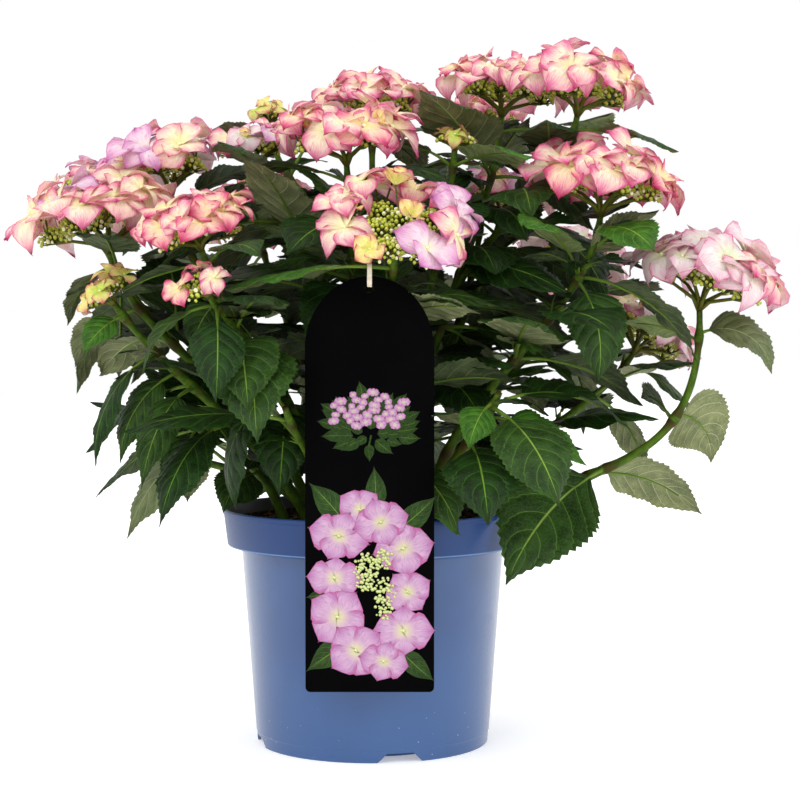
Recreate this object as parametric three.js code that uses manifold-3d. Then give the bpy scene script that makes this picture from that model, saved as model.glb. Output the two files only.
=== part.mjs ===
// A lacecap hydrangea in flower, in a round nursery pot with a label hung on it.
// Millimetres, +Z up. The origin is on the pot's axis, in the plane it stands on.
// +X is to the right and -Y towards the viewer.
import * as THREE from "three";
import { mergeVertices } from "three/addons/utils/BufferGeometryUtils.js";
import Module from "manifold-3d";

const wasm = await Module();
wasm.setup();

const GAP = 0.3; // clearance between separate pieces
const UP = new THREE.Vector3(0, 0, 1);

const POT = {
  height: 180,
  rimRadius: 115,
  rimBand: 28, // height of the thick band round the top
  bandTaper: 3.6,
  neckRadius: 100.6, // wall just under the band
  footRadius: 88.6,
  wall: 2.2,
  sides: 30,
  footInner: 66, // flat middle of the underside
  channel: 8, // depth of the drainage channel under the floor
};
const NOTCH = { count: 4, firstTurn: -76, width: 34, slant: 7, height: 7, depth: 8 };
const SOIL = { below: 10, crown: 3, socket: 18 };
const soilTop = POT.height - SOIL.below;

const CANE = { footRadius: 4.4, tipRadius: 2.3, sides: 4, bare: 62, step: 30, leastClimb: 72 };
const STEM = { sides: 3, step: 46 };
const LEAF = {
  least: 60,
  most: 106,
  growth: 0.5, // mm of blade for each mm below the flower head
  width: 0.64,
  keel: 0.035, // depth of the midrib below the edges, by length
  petioleLeast: 8,
  petiole: 0.2,
  petioleEnd: { halfWidth: 1.9, depth: 2.4 },
  widest: 0.38,
  lowShoots: 60, // how much further down the leaves of a flowerless shoot count as being
  spread: 56, // angle between stem and stalk
  outward: 0.25, // pull of each stalk away from the middle of the plant
  stray: 24, // most that a stalk strays round its stem from its even place
  sizeStray: 0.24,
  sag: 8, // how far below its line a stalk starts
  trySag: 0.4, // and how much of a steeper try it follows
  leastClimb: -50,
  mostClimb: 58,
  droop: 30, // bend from stalk to tip
  droopStray: 36,
  droopBelow: 0.05, // more bend for each mm below the flower head
  roll: 36,
};
// How far from the pot's axis leaf tips may reach each way, and how low they may hang: the
// lower limit rises with the distance from the axis past lowFrom.
const CROWN = { left: 238, right: 296, front: 204, back: 226, low: 132, lowFrom: 120, lowSlope: 0.4 };
const NODES = { first: 14, spacing: 34, growth: 0.04 };
const HEAD = {
  rayRise: 0.18, coreRadius: 0.3, coreHeight: 0.08, coreSides: 6, rays: 2, rayRadius: 1.5, youngSpread: 90,
};
// tilts are of the florets of a head's outer ring, and of those above it
const FLORET = {
  size: 0.34, sizeStray: 0.28, cup: 0.16, thickness: 1.1, notch: 0.8, stray: 16,
  ringTilt: 23, ringTiltStray: 22, innerTilt: 8, innerTiltStray: 14,
  innerShare: 0.3, innerFewer: 0.6, innerTurn: 40, innerReach: 0.17, innerHeight: 0.17,
  ringHeight: 0.03, ringHeightStray: 0.06, youngShare: 0.75, youngMore: 22.5,
  ringStalk: 0.45, innerStalk: 0.3, // where stalks start, by the radius of the core
};

// Each shoot grows from its own cane. turn is the compass angle of its head about the pot's
// axis, reach and rise its place, spread the head's width and lean how far it tips outwards.
// arch is 0 for a cane that climbs first and 1 for one that runs out low first. arrive is the
// lean of the stem where it meets the head, if not the head's own, and pull how much of it
// follows that. A shoot may have fewer pairs of leaves, and single leaves of its own, each
// with the height below the head where it starts and the place where its tip hangs.
const SHOOTS = {
  front: {
    turn: -82, reach: 139, rise: 390, spread: 123, lean: 36, arch: 0.15, florets: 10, phase: 60,
    footTurn: -84,
  },
  top_right: {
    turn: 14, reach: 104, rise: 502, spread: 112, lean: 4, arch: 0, florets: 9, phase: 20,
    forks: [{ at: 0.52, turn: -9, reach: 159, rise: 498, spread: 112, lean: 8, florets: 9, phase: 70 }],
  },
  top_centre: {
    turn: 91, reach: 70, rise: 494, spread: 106, lean: 2, arch: 0, florets: 9, phase: 35,
    forks: [{ at: 0.5, turn: 128, reach: 140, rise: 490, spread: 46, lean: 6, florets: 4, phase: 10 }],
  },
  crown_left: {
    turn: -114, reach: 49, rise: 461, spread: 118, lean: 8, arch: 0, florets: 10, phase: 0,
    forks: [{ at: 0.45, turn: 174, reach: 91, rise: 456, spread: 80, lean: 4, florets: 5, phase: 50 }],
  },
  left_high: {
    turn: 172, reach: 161, rise: 442, spread: 122, lean: 8, arch: 0.05, florets: 10, phase: 80,
  },
  left_far: {
    turn: -174, reach: 205, rise: 400, spread: 138, lean: 12, arch: 0.1, florets: 11, phase: 25,
    forks: [{ at: 0.55, turn: 162, reach: 250, rise: 432, spread: 62, lean: 24, florets: 4, phase: 75 }],
  },
  left_mid: {
    turn: -142, reach: 161, rise: 392, spread: 98, lean: 20, arch: 0.15, florets: 8, phase: 40,
    forks: [{ at: 0.62, turn: -131, reach: 180, rise: 350, spread: 60, lean: 40, florets: 3, phase: 5 }],
    leaves: [
      { below: 136, tip: [-65, -84, 195], droop: 56, roll: 0, petiole: 12 },
      { below: 40, tip: [-127, -110, 301], droop: 60, roll: -40, petiole: 12 },
    ],
  },
  young_left: {
    turn: -161, reach: 206, rise: 345, spread: 58, lean: 34, arch: 0.35, florets: 5, phase: 65,
    leaves: [
      { below: 70, tip: [-186, -80, 219], droop: 64, roll: -30, petiole: 14 },
      { below: 12, tip: [-211, -82, 299], droop: 40, roll: -40, petiole: 8 },
      { below: 84, tip: [-216, -30, 224], droop: 44, roll: -20, petiole: 14 },
    ],
  },
  right_mid: {
    turn: -22, reach: 183, rise: 424, spread: 126, lean: 5, arch: 0.1, florets: 10, phase: 30,
    leaves: [
      { below: 52, tip: [166, -84, 278], droop: 70, roll: 20, petiole: 14 },
    ],
  },
  young_mid: {
    turn: -27, reach: 70, rise: 459, spread: 42, lean: 4, arch: 0, florets: 3, phase: 85,
  },
  right_low: {
    turn: -11, reach: 254, rise: 356, spread: 134, lean: 14, arch: 1.25, florets: 11, phase: 0,
    arrive: -2, pull: 0.52, pairs: 0,
    leaves: [
      { below: 20, tip: [297, -58, 284], droop: 48, roll: 10, petiole: 9 },
      { below: 24, tip: [185, -20, 321], droop: 24, roll: 0, petiole: 8 },
      { below: 84, tip: [259, -16, 215], droop: 44, roll: -40, petiole: 9 },
      { below: 88, tip: [206, 6, 264], droop: 30, roll: 30, petiole: 9 },
      { below: 150, tip: [95, -92, 133], droop: 40, roll: -40, petiole: 18 },
      { below: 164, tip: [252, 1, 173], droop: 34, roll: -35, petiole: 16 },
    ],
  },
  right_back: {
    turn: 16, reach: 226, rise: 313, spread: 106, lean: 34, arch: 0.6, florets: 8, phase: 50,
  },
  back_mid: {
    turn: 46, reach: 152, rise: 422, spread: 96, lean: 16, arch: 0.05, florets: 7, phase: 15,
    forks: [{ at: 0.5, turn: 55, reach: 165, rise: 492, spread: 78, lean: 4, florets: 6, phase: 60 }],
  },
  back_left: {
    turn: 122, reach: 190, rise: 410, spread: 120, lean: 24, arch: 0.2, florets: 8, phase: 70,
  },
  back_centre: {
    turn: 88, reach: 196, rise: 400, spread: 120, lean: 28, arch: 0.2, florets: 8, phase: 45,
  },
  back_right: {
    turn: 45, reach: 232, rise: 368, spread: 112, lean: 30, arch: 0.4, florets: 8, phase: 20,
  },
  young_low: {
    turn: 151, reach: 208, rise: 243, spread: 50, lean: 30, arch: 0.5, florets: 4, phase: 10,
  },
  low_front_left: {
    turn: -118, reach: 130, rise: 262, lean: 30, arch: 0.3, phase: 30, footReach: 58,
  },
  low_front_right: {
    turn: -48, reach: 138, rise: 272, lean: 30, arch: 0.3, phase: 75, footReach: 58,
    leaves: [
      { below: 10, tip: [68, -140, 234], droop: 50, roll: -30, petiole: 12 },
      { below: 24, tip: [156, -104, 220], droop: 44, roll: 30, petiole: 18 },
    ],
  },
  low_left: {
    turn: -178, reach: 140, rise: 250, lean: 34, arch: 0.3, phase: 0, footReach: 64,
    leaves: [
      { below: 10, tip: [-152, -40, 186], droop: 40, roll: -40, petiole: 14 },
    ],
  },
  low_back: {
    turn: 104, reach: 136, rise: 262, lean: 32, arch: 0.3, phase: 55, footReach: 60,
  },
};
// How a stem bends: where its foot stands, how far it climbs or runs out first, and the share
// of its span that follows its parent's way and its head's axis.
const BEND = {
  footRing: 10, footShare: 0.17, climb: 0.5, archLoss: 0.22, archReach: 0.32, forkPull: 0.4, topPull: 0.3,
};
const MOST_PAIRS = 14;

// The label hangs by a strap from a leaf stalk of the front shoot.
const LABEL_LEAF = { below: 14, turn: 180, climb: 6, droop: 26, petiole: 34, length: 88 };
const TIE = { along: 17, width: 3.4, band: 1, halfWidth: 3.8, straight: 9 };
const LABEL = {
  width: 92, height: 297, arch: 53, thickness: 0.8, corner: 3.5, holeRadius: 3.5, holeDrop: 9,
  forward: 2.2,
};

const rad = THREE.MathUtils.degToRad;
const heading = (turn) => new THREE.Vector3(Math.cos(rad(turn)), Math.sin(rad(turn)), 0);
const at = (p, ...steps) => steps.reduce((q, [v, s]) => q.addScaledVector(v, s), p.clone());

// The same number from 0 to 1 for the same keys.
function chance(a, b, c) {
  const v = Math.sin(a * 12.9898 + b * 78.233 + c * 37.719) * 43758.5453;
  return v - Math.floor(v);
}

// A closed manifold-3d solid from a three.js geometry.
function solid(geometry) {
  const bare = geometry.index ? geometry.toNonIndexed() : geometry.clone();
  bare.deleteAttribute("normal");
  bare.deleteAttribute("uv");
  const merged = mergeVertices(bare, 1e-3);
  const vertProperties = merged.attributes.position.array;
  const triVerts = new Uint32Array(merged.index.array);
  return new wasm.Manifold(new wasm.Mesh({ numProp: 3, vertProperties, triVerts }));
}

function geometryOf(made) {
  const m = made.getMesh();
  const places = new Float32Array(m.numVert * 3);
  for (let i = 0; i < m.numVert; i++) {
    places.set(m.vertProperties.subarray(i * m.numProp, i * m.numProp + 3), i * 3);
  }
  return new THREE.BufferGeometry()
    .setAttribute("position", new THREE.BufferAttribute(places, 3))
    .setIndex(new THREE.BufferAttribute(m.triVerts, 1));
}

// A solid from points and triangles, all seen from outside.
function faceted(points, faces) {
  const geometry = new THREE.BufferGeometry().setFromPoints(points);
  geometry.setIndex(faces.flat());
  return solid(geometry);
}

function lathed(profile, sides) {
  const turned = new THREE.LatheGeometry(profile.map(([r, z]) => new THREE.Vector2(r, z)), sides);
  return turned.rotateX(Math.PI / 2);
}

// A unit cylinder bent along a curve from share a to share b of its length, with a taper.
function limb(curve, side, a, b, radiusAt, sides, steps) {
  const bent = new THREE.CylinderGeometry(1, 1, 1, sides, steps);
  const p = bent.attributes.position;
  for (let i = 0; i < p.count; i++) {
    const u = a + (b - a) * (p.getY(i) + 0.5);
    const within = THREE.MathUtils.clamp(u, 0, 1);
    const along = curve.getTangentAt(within);
    const across = side.clone().addScaledVector(along, -side.dot(along)).normalize();
    const over = new THREE.Vector3().crossVectors(across, along);
    const [x, z] = [p.getX(i) * radiusAt(u), p.getZ(i) * radiusAt(u)];
    const straightOn = (u - within) * curve.getLength();
    const q = at(curve.getPointAt(within), [along, straightOn], [across, x], [over, z]);
    p.setXYZ(i, q.x, q.y, q.z);
  }
  return bent;
}

// ---- The pot and its soil

function potProfile() {
  const { height: h, wall: w, channel: c } = POT;
  const band = h - POT.rimBand;
  return [
    [0, 0],
    [POT.footInner, 0],
    [POT.footInner + 2, c],
    [POT.footRadius - w, c],
    [POT.footRadius - w, 0],
    [POT.footRadius, 0],
    [POT.neckRadius, band - 1],
    [POT.rimRadius - POT.bandTaper, band],
    [POT.rimRadius, h - 1],
    [POT.rimRadius - 0.6, h],
    [POT.rimRadius - w, h],
    [POT.rimRadius - POT.bandTaper - w, band + w],
    [POT.neckRadius - w, band + w - 1],
    [POT.footRadius - w + 0.8, c + w],
    [POT.footInner, c + w],
    [POT.footInner - 2, w],
    [0, w],
  ];
}

function makePot() {
  const { width, slant, height, depth } = NOTCH;
  const outline = new THREE.Shape([
    new THREE.Vector2(-width / 2, -1),
    new THREE.Vector2(width / 2, -1),
    new THREE.Vector2(width / 2, 0),
    new THREE.Vector2(width / 2 - slant, height),
    new THREE.Vector2(-width / 2 + slant, height),
    new THREE.Vector2(-width / 2, 0),
  ]);
  let made = solid(lathed(potProfile(), POT.sides));
  for (let i = 0; i < NOTCH.count; i++) {
    const cut = new THREE.ExtrudeGeometry(outline, { depth: depth * 2, bevelEnabled: false });
    cut.rotateX(Math.PI / 2).rotateZ(Math.PI / 2); // depth along -Y, then out along +X
    cut.translate(POT.footRadius - depth, 0, 0);
    cut.rotateZ(rad(NOTCH.firstTurn + (360 / NOTCH.count) * i));
    made = made.subtract(solid(cut));
  }
  return made;
}

function makeSoil(sockets) {
  const { wall: w, channel: c } = POT;
  const band = POT.height - POT.rimBand;
  const g = GAP + 0.1; // the flats of a many-sided ring lie a little inside its corners
  const up = w + GAP;
  const bandSlope = POT.bandTaper / (POT.rimBand - 1);
  const topRadius = POT.rimRadius - POT.bandTaper - w - g + bandSlope * (soilTop - band - w);
  const made = solid(
    lathed([
      [0, up],
      [POT.footInner - 2 - g, up],
      [POT.footInner - g, c + up],
      [POT.footRadius - w + 0.8 - g, c + up],
      [POT.neckRadius - w - g, band + up - 1],
      [POT.rimRadius - POT.bandTaper - w - g, band + up],
      [topRadius, soilTop],
      [0, soilTop + SOIL.crown],
    ], POT.sides),
  );
  return sockets.reduce((earth, cut) => earth.subtract(cut), made);
}

// ---- Canes and stems

// A branch is a curve from its foot to the top of its flower stalk, with the vector square to
// the upright plane that it bends in, and the head's centre and axis.
function branchOf(spec, index, parent) {
  const out = heading(spec.turn);
  const axis = at(UP.clone().multiplyScalar(Math.cos(rad(spec.lean))), [out, Math.sin(rad(spec.lean))]);
  const centre = at(out.clone().multiplyScalar(spec.reach), [UP, spec.rise]);
  const top = at(centre, [axis, -HEAD.rayRise * (spec.spread ?? 0)]);
  let foot, first;
  if (parent) {
    foot = onStem(parent, spec.at);
    first = at(foot, [parent.curve.getTangentAt(spec.at), top.distanceTo(foot) * BEND.forkPull]);
  } else {
    const ring = spec.footReach ?? BEND.footRing + BEND.footShare * spec.reach;
    foot = at(heading(spec.footTurn ?? spec.turn).multiplyScalar(ring), [UP, soilTop - SOIL.socket]);
    const climb = (top.z - foot.z) * (BEND.climb - BEND.archLoss * spec.arch);
    const reach = spec.reach * BEND.archReach * spec.arch;
    first = at(foot, [out, reach], [UP, Math.max(climb, CANE.leastClimb)]);
  }
  const lean = rad(spec.arrive ?? spec.lean);
  const arrival = at(UP.clone().multiplyScalar(Math.cos(lean)), [out, Math.sin(lean)]);
  const last = at(top, [arrival, -top.distanceTo(foot) * (spec.pull ?? BEND.topPull)]);
  const curve = new THREE.CubicBezierCurve3(foot, first, last, top);
  const side = new THREE.Vector3().crossVectors(UP, out);
  const length = curve.getLength();
  const footRadius = parent ? parent.radiusAt(spec.at) * 0.8 : CANE.footRadius;
  const radiusAt = (u) => THREE.MathUtils.lerp(footRadius, CANE.tipRadius, u);
  const from = parent ? 0 : (CANE.bare + GAP) / length;
  const steps = Math.max(2, Math.round(((1 - from) * length) / STEM.step));
  return { spec, index, curve, side, length, axis, centre, top, out, radiusAt, from, steps };
}

// A place on the middle of a stem that is made of straight lengths.
function onStem({ curve, from, steps }, u) {
  const t = ((u - from) / (1 - from)) * steps;
  const i = Math.min(steps - 1, Math.max(0, Math.floor(t)));
  const joint = (j) => curve.getPointAt(Math.min(1, from + ((1 - from) * j) / steps));
  return joint(i).lerp(joint(i + 1), t - i);
}

// ---- Leaves

// A leaf's stalk and midrib curve down in one arc in an upright plane. Distances along it are
// from the stem's own middle.
function spineAt(leaf, s) {
  const total = leaf.petiole + leaf.length;
  const turnBy = rad(leaf.droop) / total;
  const e0 = rad(leaf.climb);
  const e = e0 - turnBy * s;
  const ahead = (Math.sin(e0) - Math.sin(e)) / turnBy;
  const above = (Math.cos(e) - Math.cos(e0)) / turnBy;
  const tangent = at(leaf.out.clone().multiplyScalar(Math.cos(e)), [UP, Math.sin(e)]);
  const level = new THREE.Vector3().crossVectors(leaf.out, UP).applyAxisAngle(tangent, rad(leaf.roll));
  const normal = new THREE.Vector3().crossVectors(level, tangent);
  return { place: at(leaf.root, [leaf.out, ahead], [UP, above]), tangent, level, normal };
}

// Across a leaf: its two edges above and its midrib below.
function bladeRing(leaf, s, halfWidth, keel) {
  const { place, level, normal } = spineAt(leaf, s);
  return [
    at(place, [level, halfWidth], [normal, keel * 0.6]),
    at(place, [level, -halfWidth], [normal, keel * 0.6]),
    at(place, [normal, -keel * 0.4]),
  ];
}

// Three-sided rings from one point to another, as a closed skin.
function spindle(start, rings, end) {
  const faces = [];
  const last = rings.length - 1;
  for (let i = 0; i < 3; i++) {
    const j = (i + 1) % 3;
    faces.push([0, 1 + i, 1 + j]);
    for (let r = 0; r < last; r++) {
      const [a, b] = [1 + r * 3 + i, 1 + r * 3 + j];
      faces.push([a, b + 3, b], [a, a + 3, b + 3]);
    }
    faces.push([last * 3 + 4, 1 + last * 3 + j, 1 + last * 3 + i]);
  }
  return faceted([start, ...rings.flat(), end], faces);
}

function leafSolids(leaf) {
  const { petiole, length } = leaf;
  const base = bladeRing(leaf, petiole, LEAF.petioleEnd.halfWidth, LEAF.petioleEnd.depth);
  const keel = length * LEAF.keel;
  const wide = bladeRing(leaf, petiole + length * LEAF.widest, (length * LEAF.width) / 2, keel);
  const tip = spineAt(leaf, petiole + length).place;
  const blade = spindle(spineAt(leaf, petiole * 0.8).place, [base, wide], tip);
  const whole = spindle(spineAt(leaf, -1.6).place, [base, wide], tip);
  return { whole, blade };
}

// The ways to set a leaf, in the order they are tried: aside, flatter or steeper, and smaller.
const LEAF_TRIES = [
  [0, 0, 1], [24, 6, 1], [-24, -6, 1], [44, -14, 0.9], [-44, 14, 0.9], [12, 30, 0.85], [-12, -26, 0.8],
  [66, 20, 0.8], [-66, 34, 0.8],
];

function leafAt(branch, below, k, twin, attempt) {
  const [aside, steeper, share] = LEAF_TRIES[attempt];
  const u = 1 - below / branch.length;
  const along = branch.curve.getTangentAt(u);
  const across = branch.side.clone().addScaledVector(along, -branch.side.dot(along)).normalize();
  const over = new THREE.Vector3().crossVectors(along, across);
  const key = branch.index;
  const stray = LEAF.stray * (chance(key, k, twin) - 0.5);
  const round = rad(branch.spec.phase + 90 * k + 180 * twin + aside + stray);
  const spread = rad(LEAF.spread);
  const way = at(along.clone().multiplyScalar(Math.cos(spread)),
    [across, Math.sin(spread) * Math.cos(round)], [over, Math.sin(spread) * Math.sin(round)],
    [branch.out, LEAF.outward]).normalize();
  const out = new THREE.Vector3(way.x, way.y, 0).normalize();
  const rise = THREE.MathUtils.radToDeg(Math.asin(way.z)) - LEAF.sag - steeper * LEAF.trySag;
  const age = branch.spec.spread ? below : below + LEAF.lowShoots;
  const grown = Math.min(LEAF.least + LEAF.growth * age, LEAF.most);
  const length = grown * share * (1 + LEAF.sizeStray * (chance(key, k, twin + 2) - 0.5));
  const bend = LEAF.droop + LEAF.droopStray * chance(key, k, twin + 4) + LEAF.droopBelow * below;
  return {
    root: onStem(branch, u),
    out,
    climb: THREE.MathUtils.clamp(rise, LEAF.leastClimb, LEAF.mostClimb),
    droop: Math.max(12, bend + steeper),
    roll: LEAF.roll * (chance(key, k, twin + 6) - 0.5),
    petiole: LEAF.petioleLeast + length * LEAF.petiole,
    length,
  };
}

// A leaf that runs from its stem to a given tip.
function leafTo(branch, { below, tip, ...form }) {
  const root = onStem(branch, 1 - below / branch.length);
  const way = new THREE.Vector3(...tip).sub(root);
  const halfBend = rad(form.droop / 2);
  const length = (way.length() * halfBend) / Math.sin(halfBend) - form.petiole;
  const climb = THREE.MathUtils.radToDeg(Math.asin(way.z / way.length())) + form.droop / 2;
  return { ...form, root, out: new THREE.Vector3(way.x, way.y, 0).normalize(), climb, length };
}

// ---- Flower heads

// The seats of a head's large florets: an outer ring and a few above it, on a low dome.
function floretSeats(branch) {
  const { spread, florets } = branch.spec;
  const across = branch.side;
  const over = new THREE.Vector3().crossVectors(branch.axis, across);
  const inner = Math.max(0, Math.round(florets * FLORET.innerShare - FLORET.innerFewer));
  const seats = [];
  for (let i = 0; i < florets; i++) {
    const ringed = i >= inner;
    const count = ringed ? florets - inner : inner;
    const key = branch.index + 0.5;
    const stray = FLORET.stray * (chance(key, i, 1) - 0.5);
    const round = rad(branch.spec.phase + (360 / count) * i + (ringed ? 0 : FLORET.innerTurn) + stray);
    const usual = FLORET.size * Math.max(spread, FLORET.youngShare * spread + FLORET.youngMore);
    const size = usual * (1 + FLORET.sizeStray * (chance(key, i, 2) - 0.5));
    const [least, more] = ringed
      ? [FLORET.ringTilt, FLORET.ringTiltStray] : [FLORET.innerTilt, FLORET.innerTiltStray];
    const tip = rad(least + more * chance(key, i, 3));
    const out = at(across.clone().multiplyScalar(Math.cos(round)), [over, Math.sin(round)]);
    const far = ringed ? spread / 2 - (size / 2) * Math.cos(tip) : spread * FLORET.innerReach;
    const ringHeight = FLORET.ringHeight + FLORET.ringHeightStray * chance(key, i, 4);
    const high = (ringed ? ringHeight : FLORET.innerHeight) * spread;
    const normal = at(branch.axis.clone().multiplyScalar(Math.cos(tip)), [out, Math.sin(tip)]);
    const place = at(branch.centre, [out, far], [branch.axis, high]);
    seats.push({ place, normal, out, size, round: 360 * chance(key, i, 5), ringed });
  }
  return seats;
}

// Four sepals as one cupped plate, drawn out below into its thin stalk.
function floretSolid(seat, stalkFoot) {
  const { place, normal, size } = seat;
  const a = new THREE.Vector3().crossVectors(normal, seat.out).normalize();
  const b = new THREE.Vector3().crossVectors(normal, a);
  const ring = (count, radius, lift) =>
    Array.from({ length: count }, (_, i) => {
      const round = rad(seat.round + (360 / count) * i);
      const r = radius(i);
      return at(place, [a, Math.cos(round) * r], [b, Math.sin(round) * r], [normal, lift(i)]);
    });
  const edge = ring(
    8,
    (i) => (size / 2) * (i % 2 ? FLORET.notch : 1),
    (i) => size * FLORET.cup * (i % 2 ? 0.6 : 1),
  );
  const neck = ring(4, () => 1.3, () => -FLORET.thickness);
  const points = [at(place, [normal, FLORET.thickness * 0.4]), ...edge, ...neck, stalkFoot];
  const faces = [];
  for (let i = 0; i < 8; i++) faces.push([0, 1 + i, 1 + ((i + 1) % 8)]);
  for (let i = 0; i < 4; i++) {
    const [p, q, r] = [1 + 2 * i, 2 + 2 * i, 1 + ((2 * i + 2) % 8)];
    const [n, m] = [9 + i, 9 + ((i + 1) % 4)];
    faces.push([p, n, q], [q, n, m], [q, m, r], [n, 13, m]);
  }
  return faceted(points, faces);
}

function headSolids(branch) {
  const { spread } = branch.spec;
  const { axis, side: across, centre, top } = branch;
  const over = new THREE.Vector3().crossVectors(axis, across);
  const basis = new THREE.Matrix4().makeBasis(across, over, axis).setPosition(centre);
  const [coreRadius, coreHeight] = [spread * HEAD.coreRadius, spread * HEAD.coreHeight];
  const coreSection = [[0, -coreHeight], [coreRadius, 0], [0, coreHeight]];
  const core = lathed(coreSection, HEAD.coreSides).applyMatrix4(basis);
  const count = spread > HEAD.youngSpread ? HEAD.rays : HEAD.rays - 1;
  const rays = Array.from({ length: count }, (_, i) => {
    const round = rad(branch.spec.phase + 45 + (360 / count) * i);
    const out = at(across.clone().multiplyScalar(Math.cos(round)), [over, Math.sin(round)]);
    const seat = at(centre, [out, coreRadius * 0.6]);
    const path = new THREE.LineCurve3(at(top, [axis, -2.5]), seat);
    return solid(limb(path, across, 0, 1, () => HEAD.rayRadius, STEM.sides, 1));
  });
  const florets = floretSeats(branch).map((seat) => {
    const stalkShare = seat.ringed ? FLORET.ringStalk : FLORET.innerStalk;
    return floretSolid(seat, at(centre, [seat.out, coreRadius * stalkShare]));
  });
  return { core: solid(core), rays, florets };
}

// ---- Growing the plant so that no two masses touch

const placed = []; // { owner, solid, box } of everything that a new leaf keeps clear of

function boxOf(made) {
  const { min, max } = made.boundingBox();
  return new THREE.Box3(new THREE.Vector3(...min), new THREE.Vector3(...max)).expandByScalar(GAP);
}

function claim(owner, made, own = made) {
  placed.push({ owner, solid: made, box: boxOf(made), own });
}

function isWithinCrown({ x, y, z }) {
  const across = x / (x < 0 ? CROWN.left : CROWN.right);
  const deep = y / (y < 0 ? CROWN.front : CROWN.back);
  const past = Math.max(0, Math.hypot(x, y) - CROWN.lowFrom);
  return across ** 2 + deep ** 2 < 1 && z > CROWN.low + past * CROWN.lowSlope;
}

function isClear(owner, made, own) {
  const box = boxOf(made);
  return placed.every((p) => {
    if (!p.box.intersectsBox(box)) return true;
    if (p.owner !== owner) return p.solid.minGap(made, GAP) >= GAP;
    return !p.own || p.own.minGap(own, GAP) >= GAP;
  });
}

const group = new THREE.Group();
const finish = (color, roughness) => new THREE.MeshStandardMaterial({ color, roughness, metalness: 0 });
const bluePlastic = finish(0x3f6ea5, 0.45);
const peat = finish(0x2b1d14, 1);
const greenBark = finish(0x5c7030, 0.6);
const foliage = finish(0x2f4f26, 0.55);
const blackCard = finish(0x0b0b0d, 0.4);
const whiteStrap = finish(0xe9e4da, 0.5);

// The outer skin of what is joined: small hollows shut in between twigs are filled.
function joined(parts) {
  const skins = wasm.Manifold.union(parts).decompose();
  return skins.reduce((a, b) => (b.volume() > a.volume() ? b : a));
}

function addMesh(name, made, material) {
  const mesh = new THREE.Mesh(geometryOf(made), material);
  mesh.name = name;
  group.add(mesh);
}

const shoots = Object.entries(SHOOTS).map(([name, spec], i) => {
  const main = branchOf(spec, i + 1);
  const forks = (spec.forks ?? []).map((fork, f) => branchOf(fork, i + 1 + 30 * (f + 1), main));
  return { name, main, branches: [main, ...forks], parts: [] };
});

// Stems first, from just past each cane's tip, then the heads on them.
for (const shoot of shoots) {
  const { main } = shoot;
  const caneEnd = CANE.bare / main.length;
  const caneSteps = Math.ceil(CANE.bare / CANE.step);
  shoot.cane = solid(limb(main.curve, main.side, 0, caneEnd, main.radiusAt, CANE.sides, caneSteps));
  claim(shoot.name + " cane", shoot.cane);
  for (const branch of shoot.branches) {
    const { curve, side, from, radiusAt, steps } = branch;
    const stem = solid(limb(curve, side, from, 1, radiusAt, STEM.sides, steps));
    shoot.parts.push(stem);
    claim(shoot.name, stem);
  }
}

for (const shoot of shoots) {
  for (const branch of shoot.branches.filter((b) => b.spec.spread)) {
    const { core, rays, florets } = headSolids(branch);
    shoot.parts.push(core, ...rays);
    claim(shoot.name, core);
    rays.forEach((ray) => claim(shoot.name, ray));
    for (const floret of florets) {
      const others = placed.filter((p) => p.owner !== shoot.name && p.box.intersectsBox(boxOf(floret)));
      if (others.some((p) => p.solid.minGap(floret, GAP) < GAP)) continue;
      shoot.parts.push(floret);
      claim(shoot.name, floret);
    }
  }
}

// ---- The label and its strap

const front = shoots.find((shoot) => shoot.name === "front");
const labelLeaf = {
  ...LABEL_LEAF,
  root: onStem(front.main, 1 - LABEL_LEAF.below / front.main.length),
  out: heading(LABEL_LEAF.turn),
  roll: 0,
};
const hang = spineAt(labelLeaf, TIE.along).place;
const stalkTop = hang.z + 0.9;
const tieTop = stalkTop + GAP + TIE.band;
const tieBottom = tieTop - 2 * TIE.halfWidth - TIE.straight;
const labelY = hang.y - LABEL.forward;

function makeTie() {
  const ring = (radius) => {
    const path = new (radius === TIE.halfWidth ? THREE.Shape : THREE.Path)();
    const low = tieBottom + TIE.halfWidth;
    path.absarc(0, low + TIE.straight, radius, 0, Math.PI, false);
    path.absarc(0, low, radius, Math.PI, 2 * Math.PI, false);
    return path;
  };
  const outline = ring(TIE.halfWidth);
  outline.holes.push(ring(TIE.halfWidth - TIE.band));
  const options = { depth: TIE.width, bevelEnabled: false, curveSegments: 4 };
  const strap = new THREE.ExtrudeGeometry(outline, options);
  const [right, back] = [new THREE.Vector3(1, 0, 0), new THREE.Vector3(0, 1, 0)];
  strap.applyMatrix4(new THREE.Matrix4().makeBasis(back, UP, right));
  return solid(strap.translate(hang.x - TIE.width / 2, hang.y - LABEL.forward / 2, 0));
}

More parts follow.
